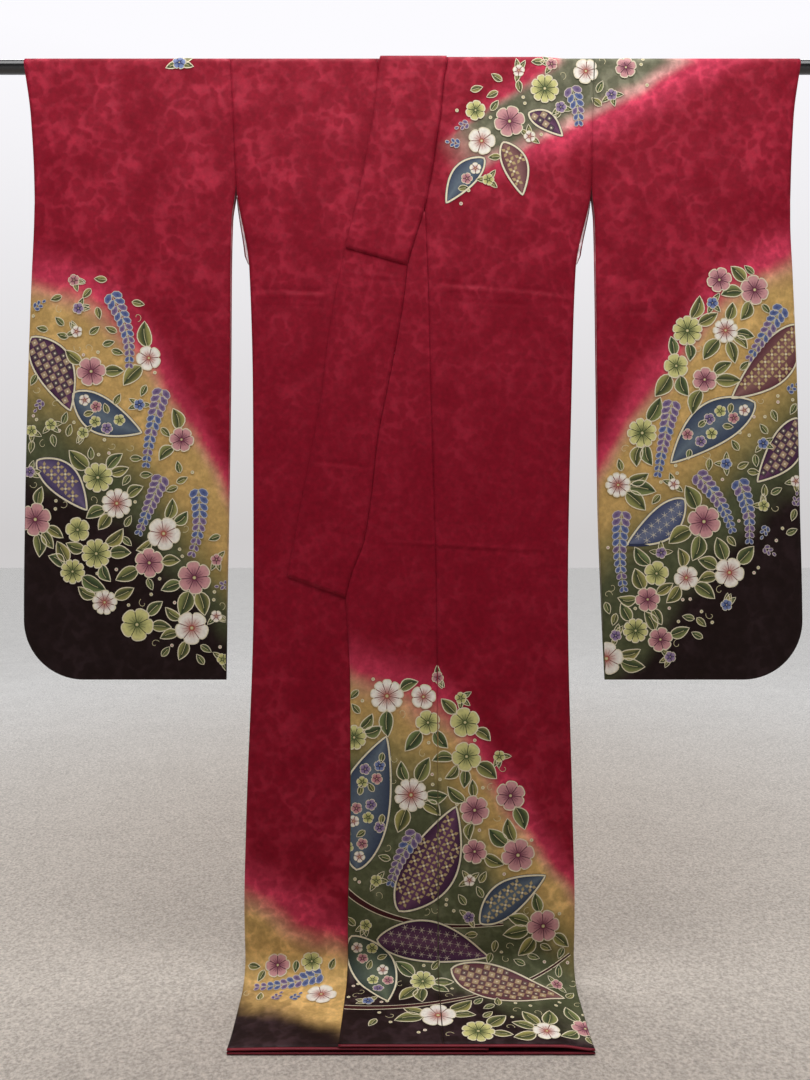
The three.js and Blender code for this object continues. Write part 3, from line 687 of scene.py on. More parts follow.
class Material(Nodes):
    """A material with a Principled shader; what is set all over goes on the shader's own sockets."""

    def __init__(self, name, rough, sheen=0.0, **sockets):
        self.made = bpy.data.materials.new(name)
        self.made.use_nodes = True
        super().__init__(self.made.node_tree)
        self.spot = self.add("TexCoord", "Object")
        self.shade(Roughness=rough, Sheen_Weight=sheen, Sheen_Roughness=0.45, **sockets)

    def shade(self, **sockets):
        """Feeds the shader; an underscore stands for a space in a socket's name."""
        spaced = {key.replace("_", " "): value for key, value in sockets.items()}
        self.feed(self.tree.nodes["Principled BSDF"], spaced)

    def bump(self, height, strength, distance):
        sockets = {"Height": height, "Strength": strength, "Distance": distance}
        self.shade(Normal=self.add("Bump", "Normal", sockets))

    def noise(self, scale, detail, rough=0.5, output="Fac"):
        sockets = {"Vector": self.spot, "Scale": scale, "Detail": detail, "Roughness": rough}
        return self.add("TexNoise", output, sockets)

    def dye(self):
        """The colour stored on the mesh's points."""
        return self.add("Attribute", "Color", attribute_name="Dye")


def silk_material():
    """Dyed damask: the dye, a tone-on-tone cloudy figure, and the fine grain of the crepe. The figure is also
    painted lighter and given a pinkish painted sheen, most near the rod and near the floor and least at mid
    height, standing in for the light from above.
    """
    silk = Material("silk", 0.6, 0.02, Specular_IOR_Level=0.12)
    warp = silk.noise(30.0, 3.0, output="Color")
    warped = silk.vector("MULTIPLY_ADD", warp, (0.045, 0.045, 0.045), silk.spot)
    figure = silk.add("TexVoronoi", "Distance", {"Vector": warped, "Scale": 58.0, "Smoothness": 0.5},
                      feature="SMOOTH_F1")
    patch = silk.range(silk.noise(15.0, 5.0, 0.62), 0.34, 0.68)
    drawn = silk.math("MULTIPLY", silk.range(figure, 0.36, 0.74, kind="SMOOTHSTEP"), patch)
    height = silk.add("SeparateXYZ", "Z", {"Vector": silk.spot})
    # Painted light: the figure's lightening and sheen fade with height, least at mid height and most near the
    # rod and the floor, as light from above falls
    off_middle = silk.math("ABSOLUTE", silk.math("ADD", height, 0.8))
    sheen_fade_by_height = silk.range(off_middle, 0.05, 0.75, 0.32, 1.0, "SMOOTHSTEP")
    figure_and_sheen = silk.math("MULTIPLY", silk.math("MULTIPLY_ADD", patch, 0.42, drawn), sheen_fade_by_height)
    speck = silk.range(silk.noise(130.0, 4.0, 0.7), 0.3, 0.7, 0.82, 1.18)
    # Painted light: the dye is made up to half as bright again where the figure and the height fade are
    # strong; speck is uneven tone
    speck_and_sheen_tone = silk.math("MULTIPLY", silk.range(figure_and_sheen, 0, 1, 0.85, 1.5), speck)
    # Painted sheen: a pinkish white added to the colour where the figure and the height fade are strong
    painted_sheen = silk.scaled((0.024, 0.015, 0.020), figure_and_sheen)
    silk.shade(Base_Color=silk.vector("ADD", silk.scaled(silk.dye(), speck_and_sheen_tone), painted_sheen),
               Roughness=silk.range(figure_and_sheen, 0, 1, 0.7, 0.52))
    silk.bump(silk.math("MULTIPLY_ADD", silk.noise(1100.0, 2.0), 0.35, drawn), 0.2, 0.0004)
    return silk.made


def print_material():
    """Painted and outlined motifs: their own colours, a little uneven, over the crepe's grain."""
    motif = Material("print", 0.6, 0.03, Specular_IOR_Level=0.2)
    tone = motif.range(motif.noise(240.0, 2.0), 0, 1, 0.78, 1.18)
    motif.shade(Base_Color=motif.scaled(motif.dye(), tone))
    motif.bump(motif.noise(1100.0, 2.0), 0.2, 0.0003)
    return motif.made


def lacquer_material():
    """Black lacquer, a little uneven in tone and gloss."""
    lacquer = Material("lacquer", 0.2, Coat_Weight=0.6, Coat_Roughness=0.08)
    grain = lacquer.noise(9.0, 3.0)
    lacquer.shade(Base_Color=lacquer.ramp(grain, paint(10, 9, 9), paint(24, 23, 24)),
                  Roughness=lacquer.range(grain, 0, 1, 0.16, 0.3))
    return lacquer.made


def carpet_material():
    """Carpet: beige near the garment and paler further off, with a looped pile."""
    carpet = Material("carpet", 0.95, Specular_IOR_Level=0.1)
    apart = carpet.add("VectorMath", "Value", {0: carpet.spot}, operation="LENGTH")
    near, far = (*paint(182, 172, 162), 1), (*paint(247, 245, 243), 1)
    further = carpet.range(apart, 1.3, 3.8, kind="SMOOTHSTEP")
    base = carpet.add("Mix", "Result", {"Factor": further, "A": near, "B": far}, data_type="RGBA")
    pile, trodden = carpet.noise(210.0, 4.0, 0.65), carpet.noise(7.0, 2.0)
    tone = carpet.range(carpet.math("MULTIPLY_ADD", trodden, 0.07, pile), 0.3, 0.86, 0.52, 1.44)
    carpet.shade(Base_Color=carpet.scaled(base, tone))
    carpet.bump(pile, 0.5, 0.002)
    return carpet.made


def satin_material():
    """Wine-red satin of the hem roll: a fine cross grain and a tone that drifts along the roll."""
    satin = Material("wine satin", 0.5, 0.05, Specular_IOR_Level=0.3)
    satin.shade(Base_Color=satin.ramp(satin.noise(30.0, 2.0), paint(92, 12, 26), paint(136, 24, 42)))
    weave = satin.add("TexWave", "Fac", {"Vector": satin.spot, "Scale": 420.0, "Distortion": 1.5},
                      bands_direction="X")
    satin.bump(weave, 0.15, 0.0002)
    return satin.made


SILK = silk_material()
PRINT = print_material()
WINE_SATIN = satin_material()

# ---------------------------------------------------------------- painted motifs

LINE_CREAM = paint(232, 220, 190)
LINE_GOLD = paint(196, 172, 118)
LEAF_LIGHT, LEAF_DARK, LEAF_GOLD = paint(124, 138, 84), paint(40, 54, 36), paint(182, 170, 96)
# Pairs of a rim's colour and a heart's
PINK = (paint(208, 148, 150), paint(118, 52, 78))
WHITE = (paint(246, 238, 226), paint(178, 92, 82))
LIME = (paint(212, 206, 134), paint(80, 94, 54))
VIOLET = (paint(158, 134, 168), paint(76, 58, 104))
BLUE = (paint(124, 138, 182), paint(48, 60, 112))
BLOSSOM_TINTS = (PINK, WHITE, LIME, PINK, LIME, WHITE)
SMALL_TINTS = (VIOLET, BLUE, WHITE, LIME, PINK)
SMALL_BLOSSOM = 12.0
RACEME_HALF = (15.0, 8.0)
CELL_SIZES = {"rings": 17.0, "checks": 11.0, "garden": 22.0, "stars": 14.0}
PAINT_LIFT = SHELL / 2 + 0.36
LEVEL_STEP = 0.11
BLOSSOM_TRIES, RACEME_TRIES, LEAF_TRIES, TRIFLE_TRIES = 60, 120, 5, 9


def turned(points, x, down, angle):
    """Points (along, across) set out from a place; at angle 0 "along" runs down the cloth."""
    u, v = points[:, 0], points[:, 1]
    s, c = math.sin(angle), math.cos(angle)
    return np.stack([x + u * s + v * c, down + u * c - v * s], -1)


def disc(radius, count):
    """A regular outline with the given number of corners."""
    theta = np.arange(count) * 2 * math.pi / count
    return np.stack([radius * np.cos(theta), radius * np.sin(theta)], -1)


def leaf_half(t):
    """Half the width of a leaf form of width 1, at a share of its length."""
    return 0.5 * np.sin(math.pi * t**0.8) ** 0.85


def triangles(a, b, c, d):
    """Two triangles for each set of four corners."""
    return np.concatenate([np.stack([a, b, c], -1), np.stack([a, c, d], -1)])


def leaf_lines(t, x, down, angle, length, width, bend, shares):
    """Lines along a leaf form, from one of its edges (share -1) to the other (share 1)."""
    middle, half = bend * np.sin(math.pi * t), leaf_half(t) * width
    return [turned(np.stack([t * length, middle + k * half], -1), x, down, angle) for k in shares]


def round_trip(lines):
    """The outline that runs along the first line and back along the last one."""
    return np.concatenate([lines[0], lines[-1][-2:0:-1]])


def raceme_spine(t, x, down, angle, length, bend):
    """Points of a raceme's middle line at shares of its length."""
    return turned(np.stack([t * length, bend * np.sin(math.pi * t * 0.8)], -1), x, down, angle)


class Painting:
    """Flat shapes on a panel's pattern, in levels, later laid over the cloth as one thin mesh."""

    def __init__(self, seed, region):
        self.rng = np.random.default_rng(seed)
        self.region = region
        self.taken = np.zeros((0, 3))
        self.parts, self.count = [], 0

    def free(self, discs, slack=1.0):
        """Whether discs (x, down, radius) lie in the region and, at slack 1, apart from all that is taken."""
        discs = np.atleast_2d(discs)
        x, down, radius = discs.T
        low, high = (np.interp(x, self.region["x"], self.region[c]) for c in ("top", "bottom"))
        inside = (down - radius * 0.5 > low) & (down + radius * 0.5 < high)
        inside &= (x > self.region["x"][0]) & (x < self.region["x"][-1])
        apart = np.hypot(x[:, None] - self.taken[:, 0], down[:, None] - self.taken[:, 1])
        return inside.all() and not (apart < (radius[:, None] + self.taken[:, 2]) * slack).any()

    def take(self, discs):
        self.taken = np.vstack([self.taken, np.atleast_2d(discs)])

    def add(self, spots, faces, colours, level):
        self.parts.append((spots, faces + self.count, np.broadcast_to(colours, (len(spots), 3)),
                           np.full(len(spots), float(level))))
        self.count += len(spots)

    def fill(self, outline, colours, level):
        """A filled round outline, in rings; a colour for the centre and one for each ring."""
        centre, n, rings = outline.mean(axis=0), len(outline), len(colours) - 1
        spots = [centre[None]] + [centre + (outline - centre) * (r + 1) / rings for r in range(rings)]
        k = np.arange(n)
        after = (k + 1) % n
        faces = [np.stack([0 * k, 1 + k, 1 + after], -1)]
        faces += [triangles(a + k, a + n + k, a + n + after, a + after) for a in 1 + n * np.arange(rings - 1)]
        tints = np.concatenate([[colours[0]]] + [np.tile(c, (n, 1)) for c in colours[1:]])
        self.add(np.concatenate(spots), np.concatenate(faces), tints, level)

    def dot(self, x, down, angle, radius, corners, colours, level):
        self.fill(turned(disc(radius, corners), x, down, angle), colours, level)

    def line(self, path, width, colour, level, closed=False):
        """A line along a path, of one width or with a width for each of its points."""
        run = np.roll(path, -1, 0) - np.roll(path, 1, 0) if closed else np.gradient(path, axis=0)
        side = np.stack([-run[:, 1], run[:, 0]], -1) / np.maximum(np.linalg.norm(run, axis=1), 1e-9)[:, None]
        side = side * (np.broadcast_to(width, len(path)) / 2)[:, None]
        n = len(path)
        k = np.arange(n if closed else n - 1)
        after = (k + 1) % n
        faces = triangles(k, after, n + after, n + k)
        self.add(np.concatenate([path + side, path - side]), faces, colour, level)

    def band(self, low, high, colours, level):
        """A form between two lines of points; a colour at each line and one between."""
        n = len(low)
        spots = np.concatenate([low, (low + high) / 2, high])
        k = np.arange(n - 1)
        faces = [triangles(a + k, a + k + 1, a + n + k + 1, a + n + k) for a in (0, n)]
        self.add(spots, np.concatenate(faces), np.repeat(np.array(colours), n, axis=0), level)

    def blossom(self, x, down, radius, petals, tint, level=7):
        """A round blossom: lobed petals with dark lines between, fine rays and a golden heart."""
        rim, heart = tint
        turn, large = self.rng.uniform(0, 6), radius > SMALL_BLOSSOM
        corners = petals * (9 if large else 5)
        theta = np.arange(corners) * 2 * math.pi / corners
        lobe = np.abs(np.sin(petals * theta / 2)) ** 0.5 + 0.14 * np.abs(np.sin(petals * theta))
        reach = radius * (0.78 + 0.21 * lobe)
        outline = np.stack([x + reach * np.cos(theta + turn), down + reach * np.sin(theta + turn)], -1)
        rings = [heart, mix(heart, rim, 0.3), mix(heart, rim, 0.7), rim, mix(rim, LINE_CREAM, 0.15)]
        self.fill(outline, rings, level)
        self.line(outline, 1.7 if large else 1.1, LINE_CREAM, level + 1, closed=True)
        rays = petals if radius < SMALL_BLOSSOM else petals * 3
        for i in range(rays):
            way = np.array([math.cos(turn + i * 2 * math.pi / rays), math.sin(turn + i * 2 * math.pi / rays)])
            if i % (rays // petals) == 0:
                end, widths, colour = 0.8, [1.3, 1.2, 1.5], mix(heart, INK, 0.5)
            else:
                end, widths, colour = 0.58, [1.0, 0.9, 0.5], mix(rim, heart, 0.8)
            path = np.array([[x, down]]) + way * radius * np.array([[0.2], [0.45], [end]])
            self.line(path, widths, colour, level + 1)
        self.dot(x, down, 0, radius * 0.2, 9, [mix(heart, INK, 0.3), heart], level + 1.5)
        self.dot(x, down, 0, radius * 0.11, 7, [LINE_CREAM, LEAF_GOLD], level + 2)
        self.take((x, down, radius))

    def leaf(self, x, down, angle, length, width, bend=0.0, level=3):
        """A leaf with a light side, a dark side, a pale outline and a midrib."""
        lines = leaf_lines(np.linspace(0, 1, 8), x, down, angle, length, width, bend, (-1, 0, 1))
        light = mix(LEAF_LIGHT, LEAF_GOLD, self.rng.uniform(0, 1))
        level += self.rng.uniform(0, 0.7)
        shades = [mix(light, LEAF_DARK, share) for share in (0, 0.35, 1, 0.8, 0.3)]
        self.band(lines[0], lines[1], shades[:3], level)
        self.band(lines[1], lines[2], shades[2:], level)
        self.line(round_trip(lines), 1.6 if length > 22 else 1.1, LINE_CREAM, level + 1, closed=True)
        self.line(lines[1][:-2], 0.9, mix(LEAF_GOLD, LINE_CREAM, 0.4), level + 1)

    def raceme(self, x, down, angle, length, bend, tints, level=5):
        """A hanging wisteria cluster: pairs of drop-shaped florets, smaller towards the tip."""
        pairs = int(length / 11.5)
        t = (np.arange(pairs + 1) + 0.3) / (pairs + 1)
        spine = raceme_spine(t, x, down, angle, length, bend)
        run = np.gradient(spine, axis=0)
        heading = np.arctan2(run[:, 0], run[:, 1])
        for i in range(pairs, -1, -1):
            size = mix(18.5, 9.5, t[i])
            tint = tints[0] if self.rng.uniform() < 0.85 - 0.7 * t[i] else tints[1]
            for side in (-1, 1):
                way = heading[i] + side * mix(0.92, 0.55, t[i])
                self.floret(spine[i], way, size, side, tint, level + 1.2 * (1 - t[i]))
        self.line(spine, 1.3, mix(LEAF_LIGHT, LINE_CREAM, 0.6), level + 2.3)
        self.take(np.column_stack([spine, mix(*RACEME_HALF, t)]))

    def floret(self, spot, angle, size, side, tint, level):
        """One drop-shaped floret: a dark fold near the stem, a light lip and a pale outline."""
        rim, heart = tint
        u = np.array([0, 0.22, 0.6, 0.93, 1.0, 0.8, 0.4]) * size
        v = np.array([0, 0.28, 0.36, 0.2, -0.05, -0.28, -0.26]) * size * side
        outline = turned(np.stack([u, v], -1), *spot, angle)
        self.fill(outline, [mix(rim, heart, 0.9), mix(rim, heart, 0.25)], level)
        self.line(outline, 1.2 if size > 12 else 0.9, mix(LINE_CREAM, rim, 0.35), level + 0.9, closed=True)

    def berry(self, x, down, radius, tint, level=3):
        """A small outlined dot."""
        outline = turned(disc(radius, 8), x, down, 0)
        self.fill(outline, [tint[1], tint[0]], level)
        self.line(outline, 0.8, LINE_CREAM, level + 1, closed=True)
        self.take((x, down, radius))

    def tendril(self, x, down, angle, size, level=3):
        """A fine spiral."""
        t = np.linspace(0, 1, 16)
        reach = size * (1 - 0.8 * t)
        spiral = np.stack([reach * np.cos(4.6 * t), reach * np.sin(4.6 * t)], -1)
        self.line(turned(spiral, x, down, angle), 0.8, mix(LINE_CREAM, LEAF_GOLD, 0.4), level)
        self.take((x, down, size * 0.8))

    def cartouche(self, x, down, angle, length, width, bend, figure, tint):
        """A large leaf form with a cream border, filled with a small traditional figure."""
        t, shares = np.linspace(0, 1, 61), np.arange(-1, 1.1, 0.25)
        lines = leaf_lines(t, x, down, angle, length, width, bend, shares)
        rim, heart = tint
        for k, low, high in zip(shares, lines, lines[1:]):
            self.band(low, high, [mix(rim, heart, abs(k + f)) for f in (0, 0.125, 0.25)], 0)
        self.line(round_trip(lines), 4.4, mix(heart, INK, 0.5), 1.6, closed=True)
        self.line(round_trip(lines), 3.0, LINE_CREAM, 2, closed=True)
        middles, halves = bend * np.sin(math.pi * t), leaf_half(t) * width
        size, staggered = CELL_SIZES[figure], figure in ("garden", "stars")
        reach = size * (0.45 if figure == "checks" else 0.4)
        for i in range(int(length / size) + 2):
            for j in range(-int(width / size) - 2, int(width / size) + 3):
                u, v = (i + 0.5 * (j % 2 if staggered else 0)) * size, j * size
                edge, middle = np.interp(u / length, t, halves), np.interp(u / length, t, middles)
                if 0 < u - reach and u + reach < length and abs(v - middle) + reach < edge - 1:
                    self.cell(figure, *turned(np.array([[u, v]]), x, down, angle)[0], angle, size, tint, i, j)
        self.take(np.column_stack([lines[4], halves * 0.86])[4:-4:5])

    def cell(self, figure, x, down, angle, size, tint, i, j):
        """One cell of a traditional repeat: linked rings, checks, stars, or leaves and small flowers."""
        rim, heart = tint
        if figure == "rings":
            lens = np.array([[0.068, 0], [0.34, 0.17], [0.612, 0], [0.34, -0.17]]) * size
            for k in range(4):
                self.fill(turned(lens, x, down, angle + math.pi / 4 + k * math.pi / 2),
                          [LINE_GOLD, mix(LINE_GOLD, rim, 0.4)], 1)
            self.dot(x, down, angle, size * 0.14, 4, [LINE_CREAM, LINE_CREAM], 1.3)
        elif figure == "checks":
            shade = mix(LINE_GOLD, rim, 0.45) if (i + j) % 2 else mix(heart, INK, 0.2)
            self.dot(x, down, angle + math.pi / 4, size * 0.62, 4, [mix(shade, LINE_CREAM, 0.25), shade], 1)
            self.dot(x, down, angle, size * 0.16, 4, [LINE_CREAM, LINE_CREAM], 1.3)
        elif figure == "stars":
            for k in range(3):
                path = np.array([[-size * 0.44, 0], [0, 0], [size * 0.44, 0]])
                self.line(turned(path, x, down, angle + k * math.pi / 3), [0.4, 1.2, 0.4],
                          mix(LINE_CREAM, rim, 0.35), 1 + 0.1 * k)
        elif (i + j) % 3 == 0:
            self.leaf(x, down, angle + 0.8 * (i % 5), size * 0.8, size * 0.45, level=0.5)
        else:
            taken = self.taken
            self.blossom(x, down, size * 0.42, 5, SMALL_TINTS[(2 * i + j) % len(SMALL_TINTS)], level=0.5)
            self.taken = taken

    def branch(self, start, middle, end, width):
        """A dark curved branch with a cream line down each side."""
        t = np.linspace(0, 1, 80)[:, None]
        path = (1 - t) ** 2 * np.array(start) + 2 * t * (1 - t) * np.array(middle) + t * t * np.array(end)
        wide = width * (1 - 0.72 * t[:, 0])
        self.line(path, wide + 2.6, LINE_CREAM, -2.2)
        self.line(path, wide, mix(BROWN, WINE, 0.3), -1.2)
        self.take(np.column_stack([path, wide / 2]))

    def garden(self, blossoms, racemes, leaves, trifles):
        """Scatters blossoms, hanging racemes, leaves round the blossoms, and small things between."""
        rng, centres, hung = self.rng, [], 0
        x0, x1 = self.region["x"][0], self.region["x"][-1]
        top, bottom = self.region["top"].min(), self.region["bottom"].max()
        for _ in range(blossoms * BLOSSOM_TRIES):
            if len(centres) == blossoms:
                break
            x, down, radius = rng.uniform(x0, x1), rng.uniform(top, bottom), rng.choice([20.0, 24.0, 27.0])
            if self.free((x, down, radius + 3)):
                k = len(centres)
                self.blossom(x, down, radius, (6, 5, 9)[k % 3], BLOSSOM_TINTS[k % len(BLOSSOM_TINTS)])
                centres.append((x, down, radius, rng.uniform(0, 6.3)))
        for _ in range(racemes * RACEME_TRIES):
            if hung == racemes:
                break
            x, down = rng.uniform(x0, x1), rng.uniform(top, bottom)
            angle, length, bend = rng.uniform(-0.6, 0.6), rng.uniform(100, 140), rng.uniform(-18, 18)
            t = np.linspace(0, 1, 8)
            spine = raceme_spine(t, x, down, angle, length, bend)
            if self.free(np.column_stack([spine, mix(*RACEME_HALF, t)])):
                self.raceme(x, down, angle, length, bend, ((VIOLET, BLUE), (BLUE, VIOLET))[hung % 2])
                hung += 1
        for k in range(len(centres) * leaves * LEAF_TRIES):
            x, down, radius, main = centres[k % len(centres)]
            angle = main + rng.choice([-1.5, -0.5, 0.5, 2.6]) + rng.normal(0, 0.25)
            length = rng.uniform(30, 46)
            width = length * rng.uniform(0.5, 0.62)
            t = np.array([0.4, 0.7, 0.95])
            base = turned(np.array([[radius * 0.86, 0]]), x, down, angle)[0]
            spots = turned(np.stack([radius * 0.86 + t * length, 0 * t], -1), x, down, angle)
            discs = np.column_stack([spots, np.array([0.42, 0.42, 0.14]) * width])
            if self.free(discs, 0.92):
                self.leaf(*base, angle, length, width, rng.uniform(-5, 5))
                self.take(discs)
        for k in range(trifles * TRIFLE_TRIES):
            x, down = rng.uniform(x0, x1), rng.uniform(top - 30, bottom + 20)
            kind = k % 7
            if kind == 0 and self.free((x, down, 14)):
                self.sprig(x, down, rng.uniform(0, 6), SMALL_TINTS[k % 2])
            elif kind in (1, 2) and self.free((x, down, 13)):
                self.blossom(x, down, 9.5, 5, SMALL_TINTS[k % 5])
                for way in rng.uniform(0, 6.3, 3):
                    self.leaf(x, down, way, 20, 9)
                self.take((x, down, 13))
            elif kind == 3 and self.free((x, down, 8)):
                self.tendril(x, down, rng.uniform(0, 6), 8)
            elif kind in (4, 5) and self.free((x, down, 9)):
                self.leaf(*turned(np.array([[-10.0, 0.0]]), x, down, k * 1.7)[0], k * 1.7, 21, 11)
                self.take((x, down, 10))
            elif kind == 6 and self.free((x, down, 5)):
                self.berry(x, down, 2.6, (LINE_CREAM, LEAF_GOLD) if k % 4 else WHITE)

    def sprig(self, x, down, angle, tint):
        """A short stem with drop-shaped buds."""
        for i, side in ((0, -1), (0, 1), (1, -1), (1, 1), (2, 0)):
            spot = turned(np.array([[i * 8.0 - 9, 0.0]]), x, down, angle)[0]
            self.floret(spot, angle + side * 0.8, 9.5 - i, side or 1, tint, 5)
        self.take((x, down, 14))

    def lay(self, name, surface, low, high, face):
        """Lays the part between two edges (x at a place down) on the cloth, as one piece."""
        spots, faces, colours, levels = (np.concatenate([part[k] for part in self.parts]) for k in range(4))
        x0, x1 = low(spots[:, 1]), high(spots[:, 1])
        where = np.sign(spots[:, 0] - x0) + np.sign(spots[:, 0] - x1)
        off = (np.abs(where[faces]).min(axis=1) == 2) & (np.ptp(where[faces], axis=1) == 0)
        faces = faces[~off]
        x, down = np.clip(spots[:, 0], x0, x1), spots[:, 1]
        a, b, c = (np.stack([x, down], -1)[faces[:, k]] for k in range(3))
        area = (b[:, 0] - a[:, 0]) * (c[:, 1] - a[:, 1]) - (b[:, 1] - a[:, 1]) * (c[:, 0] - a[:, 0])
        faces, area = faces[np.abs(area) > 1e-4], area[np.abs(area) > 1e-4]
        faces[area * face < 0] = faces[area * face < 0][:, ::-1]
        used, faces = np.unique(faces, return_inverse=True)
        points = surface(x[used], down[used], PAINT_LIFT + LEVEL_STEP * levels[used])
        declare(new_mesh(name, points, faces.reshape(-1, 3), PRINT, colours[used]), "outer_silk")


# ---------------------------------------------------------------- cloth pieces


def declare(made, slot, *solids):
    """Sets a piece on the root body and hides the solids that it stands in place of; slot is not used."""
    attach(made, "root")
    if solids:
        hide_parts(*solids)


def dress(name, sheet, dye, side, solids, flat, lining=dye_lining):
    made = shell(name, sheet, dye, side, lining)
    declare(made, "outer_silk", *solids)
    min(sheet.area(), flat[0] * flat[1])


BODY_LENGTH = (2 * HEM + math.pi * ROD_REACH) * MM
OKUMI_LENGTH = (HEM - OKUMI_TOP) * MM
SLEEVE_CUT = (2 * SLEEVE_LENGTH + math.pi * ROD_REACH) * MM
COLLAR_ENDS = (COLLAR_END_AT_SEAM, COLLAR_END_AT_FREE_EDGE)

for side, dye in ((1, dye_front_left), (-1, dye_front_right)):
    dress("body_%s_silk" % HAND[side], body_sheet(side), dye, side,
          ["body_front_" + HAND[side], "body_shoulder_" + HAND[side], "body_back_" + HAND[side]],
          (0.31, BODY_LENGTH))
for side, dye in ((1, dye_front_left), (-1, dye_front_right)):
    dress("okumi_%s_silk" % HAND[side], okumi_sheet(side), dye, side, ["okumi_" + HAND[side]],
          (0.15, OKUMI_LENGTH))
dress("collar_left_silk", collar_sheet(1, collar_out, 0, *COLLAR_ENDS, 0), dye_collar, 1,
      ["collar_left"], (0.117, 0.95))
dress("collar_right_silk", collar_sheet(-1, lower_front_out, 0, *COLLAR_ENDS, 0, 0.55), dye_collar, -1,
      ["collar_right"], (0.117, 0.92))
dress("over_collar_silk",
      collar_sheet(1, collar_out, OVER_COLLAR_LIFT, OVER_COLLAR_END_AT_SEAM, OVER_COLLAR_END_AT_FREE_EDGE,
                   OVER_COLLAR_INSET),
      dye_collar, 1, ["over_collar"], (0.115, 0.42), dye_collar)
for side, dye in ((1, dye_sleeve_left), (-1, dye_sleeve_right)):
    dress("sleeve_%s_silk" % HAND[side], sleeve_sheet(side), dye, side, ["sleeve_" + HAND[side]],
          (0.35, SLEEVE_CUT))


def hem_roll(name, start, end, out_of, raise_by):
    """The lining rolled out along the hem, padded a little unevenly."""
    rings, sides = round((end - start) / ROLL_RING_STEP), ROLL_SIDES
    x = np.linspace(start, end, rings + 1)[:, None]
    angle = np.arange(sides)[None] * 2 * math.pi / sides
    girth = 1 - 0.07 * (1 + wander(x, 0 * x, 26, 31))
    down = HEM + SEAM + ROLL_WIDTH / 2 * (1 + girth * np.cos(angle))
    middle = out_of(x.ravel(), np.full(rings + 1, HEM))[:, None] - raise_by
    points = place(x, down, middle + ROLL_THICKNESS / 2 * girth * np.sin(angle)).reshape(-1, 3)
    k, j = np.meshgrid(np.arange(rings), np.arange(sides), indexing="ij")
    corner, after = (k * sides + j).ravel(), (k * sides + (j + 1) % sides).ravel()
    faces = np.stack([corner, corner + sides, after + sides, after], -1)
    half = np.arange(sides // 2 - 1)
    for base, order in ((0, 1), (rings * sides, -1)):
        cap = np.stack([base + half, base + half + 1, base + sides - 2 - half, base + sides - 1 - half], -1)
        faces = np.concatenate([faces, cap[:, ::order]])
    declare(new_mesh(name + "_silk", points, faces, WINE_SATIN), "hem_roll", name)


def dye_lining_edge(x, down, share):
    """Pale silk with a dark red outer edge."""
    return mix(PALE_LINING, 0.5 * CRIMSON, ease(share, 0.62, 0.65)[:, None])


def lining_edge(side):
    """The lining that shows beside the back panel, in the opening below the armhole."""
    sheet = Sheet()
    for down in np.linspace(LINING_EDGE["down"][0], LINING_EDGE["down"][-1], 40):
        share = np.array([0, 0.2, 0.4, 0.6, 0.66, 1])
        width = np.interp(down, LINING_EDGE["down"], LINING_EDGE["width"])
        x = at(BODY_SIDES, HAND[side], down) + side * mix(SEAM, width, share)
        depth = at(BODY_EDGE_DEPTH, "half", down) + 0.25 * wander(x, down, 22, 17)
        add_row(sheet, x, down, depth, share)
    sheet.join()
    made = shell("lining_edge_%s_silk" % HAND[side], sheet, dye_lining_edge, side, dye_lining_edge)
    declare(made, "lining", "lining_edge_" + HAND[side])


for side in (1, -1):
    lining_edge(side)
hem_roll("hem_roll_left", at(OKUMI_EDGE, "x", HEM), at(BODY_SIDES, "left", HEM), upper_front_out, 0)
hem_roll("hem_roll_right", at(BODY_SIDES, "right", HEM), -at(OKUMI_EDGE, "x", HEM), lower_front_out, 0)
hem_roll("hem_roll_back", at(BODY_SIDES, "right", HEM), at(BODY_SIDES, "left", HEM), back_out,
         (ROLL_THICKNESS - WALL) / 2)

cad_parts["rod"].data.materials.clear()
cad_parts["rod"].data.materials.append(lacquer_material())

# ---------------------------------------------------------------- layout of the motifs


def front_surface(out_of):
    """A front's face, going on over the rod and down the back above the shoulder line."""
    def surface(x, down, lift):
        turn = math.pi * ROD_REACH
        front = place(x, np.maximum(down, 0), out_of(x, np.maximum(down, 0)) - lift)
        reach = ROD_REACH + lift + OVERLAP_STEP * (1 - ease(x, *OVERLAP_FADE)) * ease(-down / turn, 1, 0.5)
        over = over_rod(x, np.clip(-down / ROD_REACH, 0, math.pi), reach)
        past = np.maximum(-down - turn, 0)
        back = place(x, past, back_out(x, past) + lift)
        return np.where((down >= 0)[:, None], front, np.where((down > -turn)[:, None], over, back))
    return surface


def back_surface(x, down, lift):
    return place(x, down, back_out(x, down) + lift)


def sleeve_surface(side, face):
    """A sleeve's face, going on over the rod as far as its top."""
    def surface(x, down, lift):
        hanging = sleeve_point(side, face, x, np.maximum(down, 0), lift)
        past = np.clip(-down / ROD_REACH, 0, math.pi / 2)
        over = over_rod(x, math.pi / 2 * (1 + face) - face * past, ROD_REACH + lift)
        return np.where((down >= 0)[:, None], hanging, over)
    return surface


def sleeve_limits(side):
    """A sleeve's lower and higher edge across the cloth, drawn in a little."""
    return (lambda down: np.minimum(*sleeve_edges(side, down)) + SLEEVE_PAINT_MARGIN,
            lambda down: np.maximum(*sleeve_edges(side, down)) - SLEEVE_PAINT_MARGIN)


def edge(tab, column, way):
    """A table's line, drawn in towards the cloth that it bounds."""
    return lambda down: at(tab, column, down) + way * PAINT_MARGIN


def middle_line(way):
    return lambda down: 0 * down + way * PAINT_MARGIN


PAINT_MARGIN, SLEEVE_PAINT_MARGIN = 0.8, 0.6
FRONT = front_surface(upper_front_out)

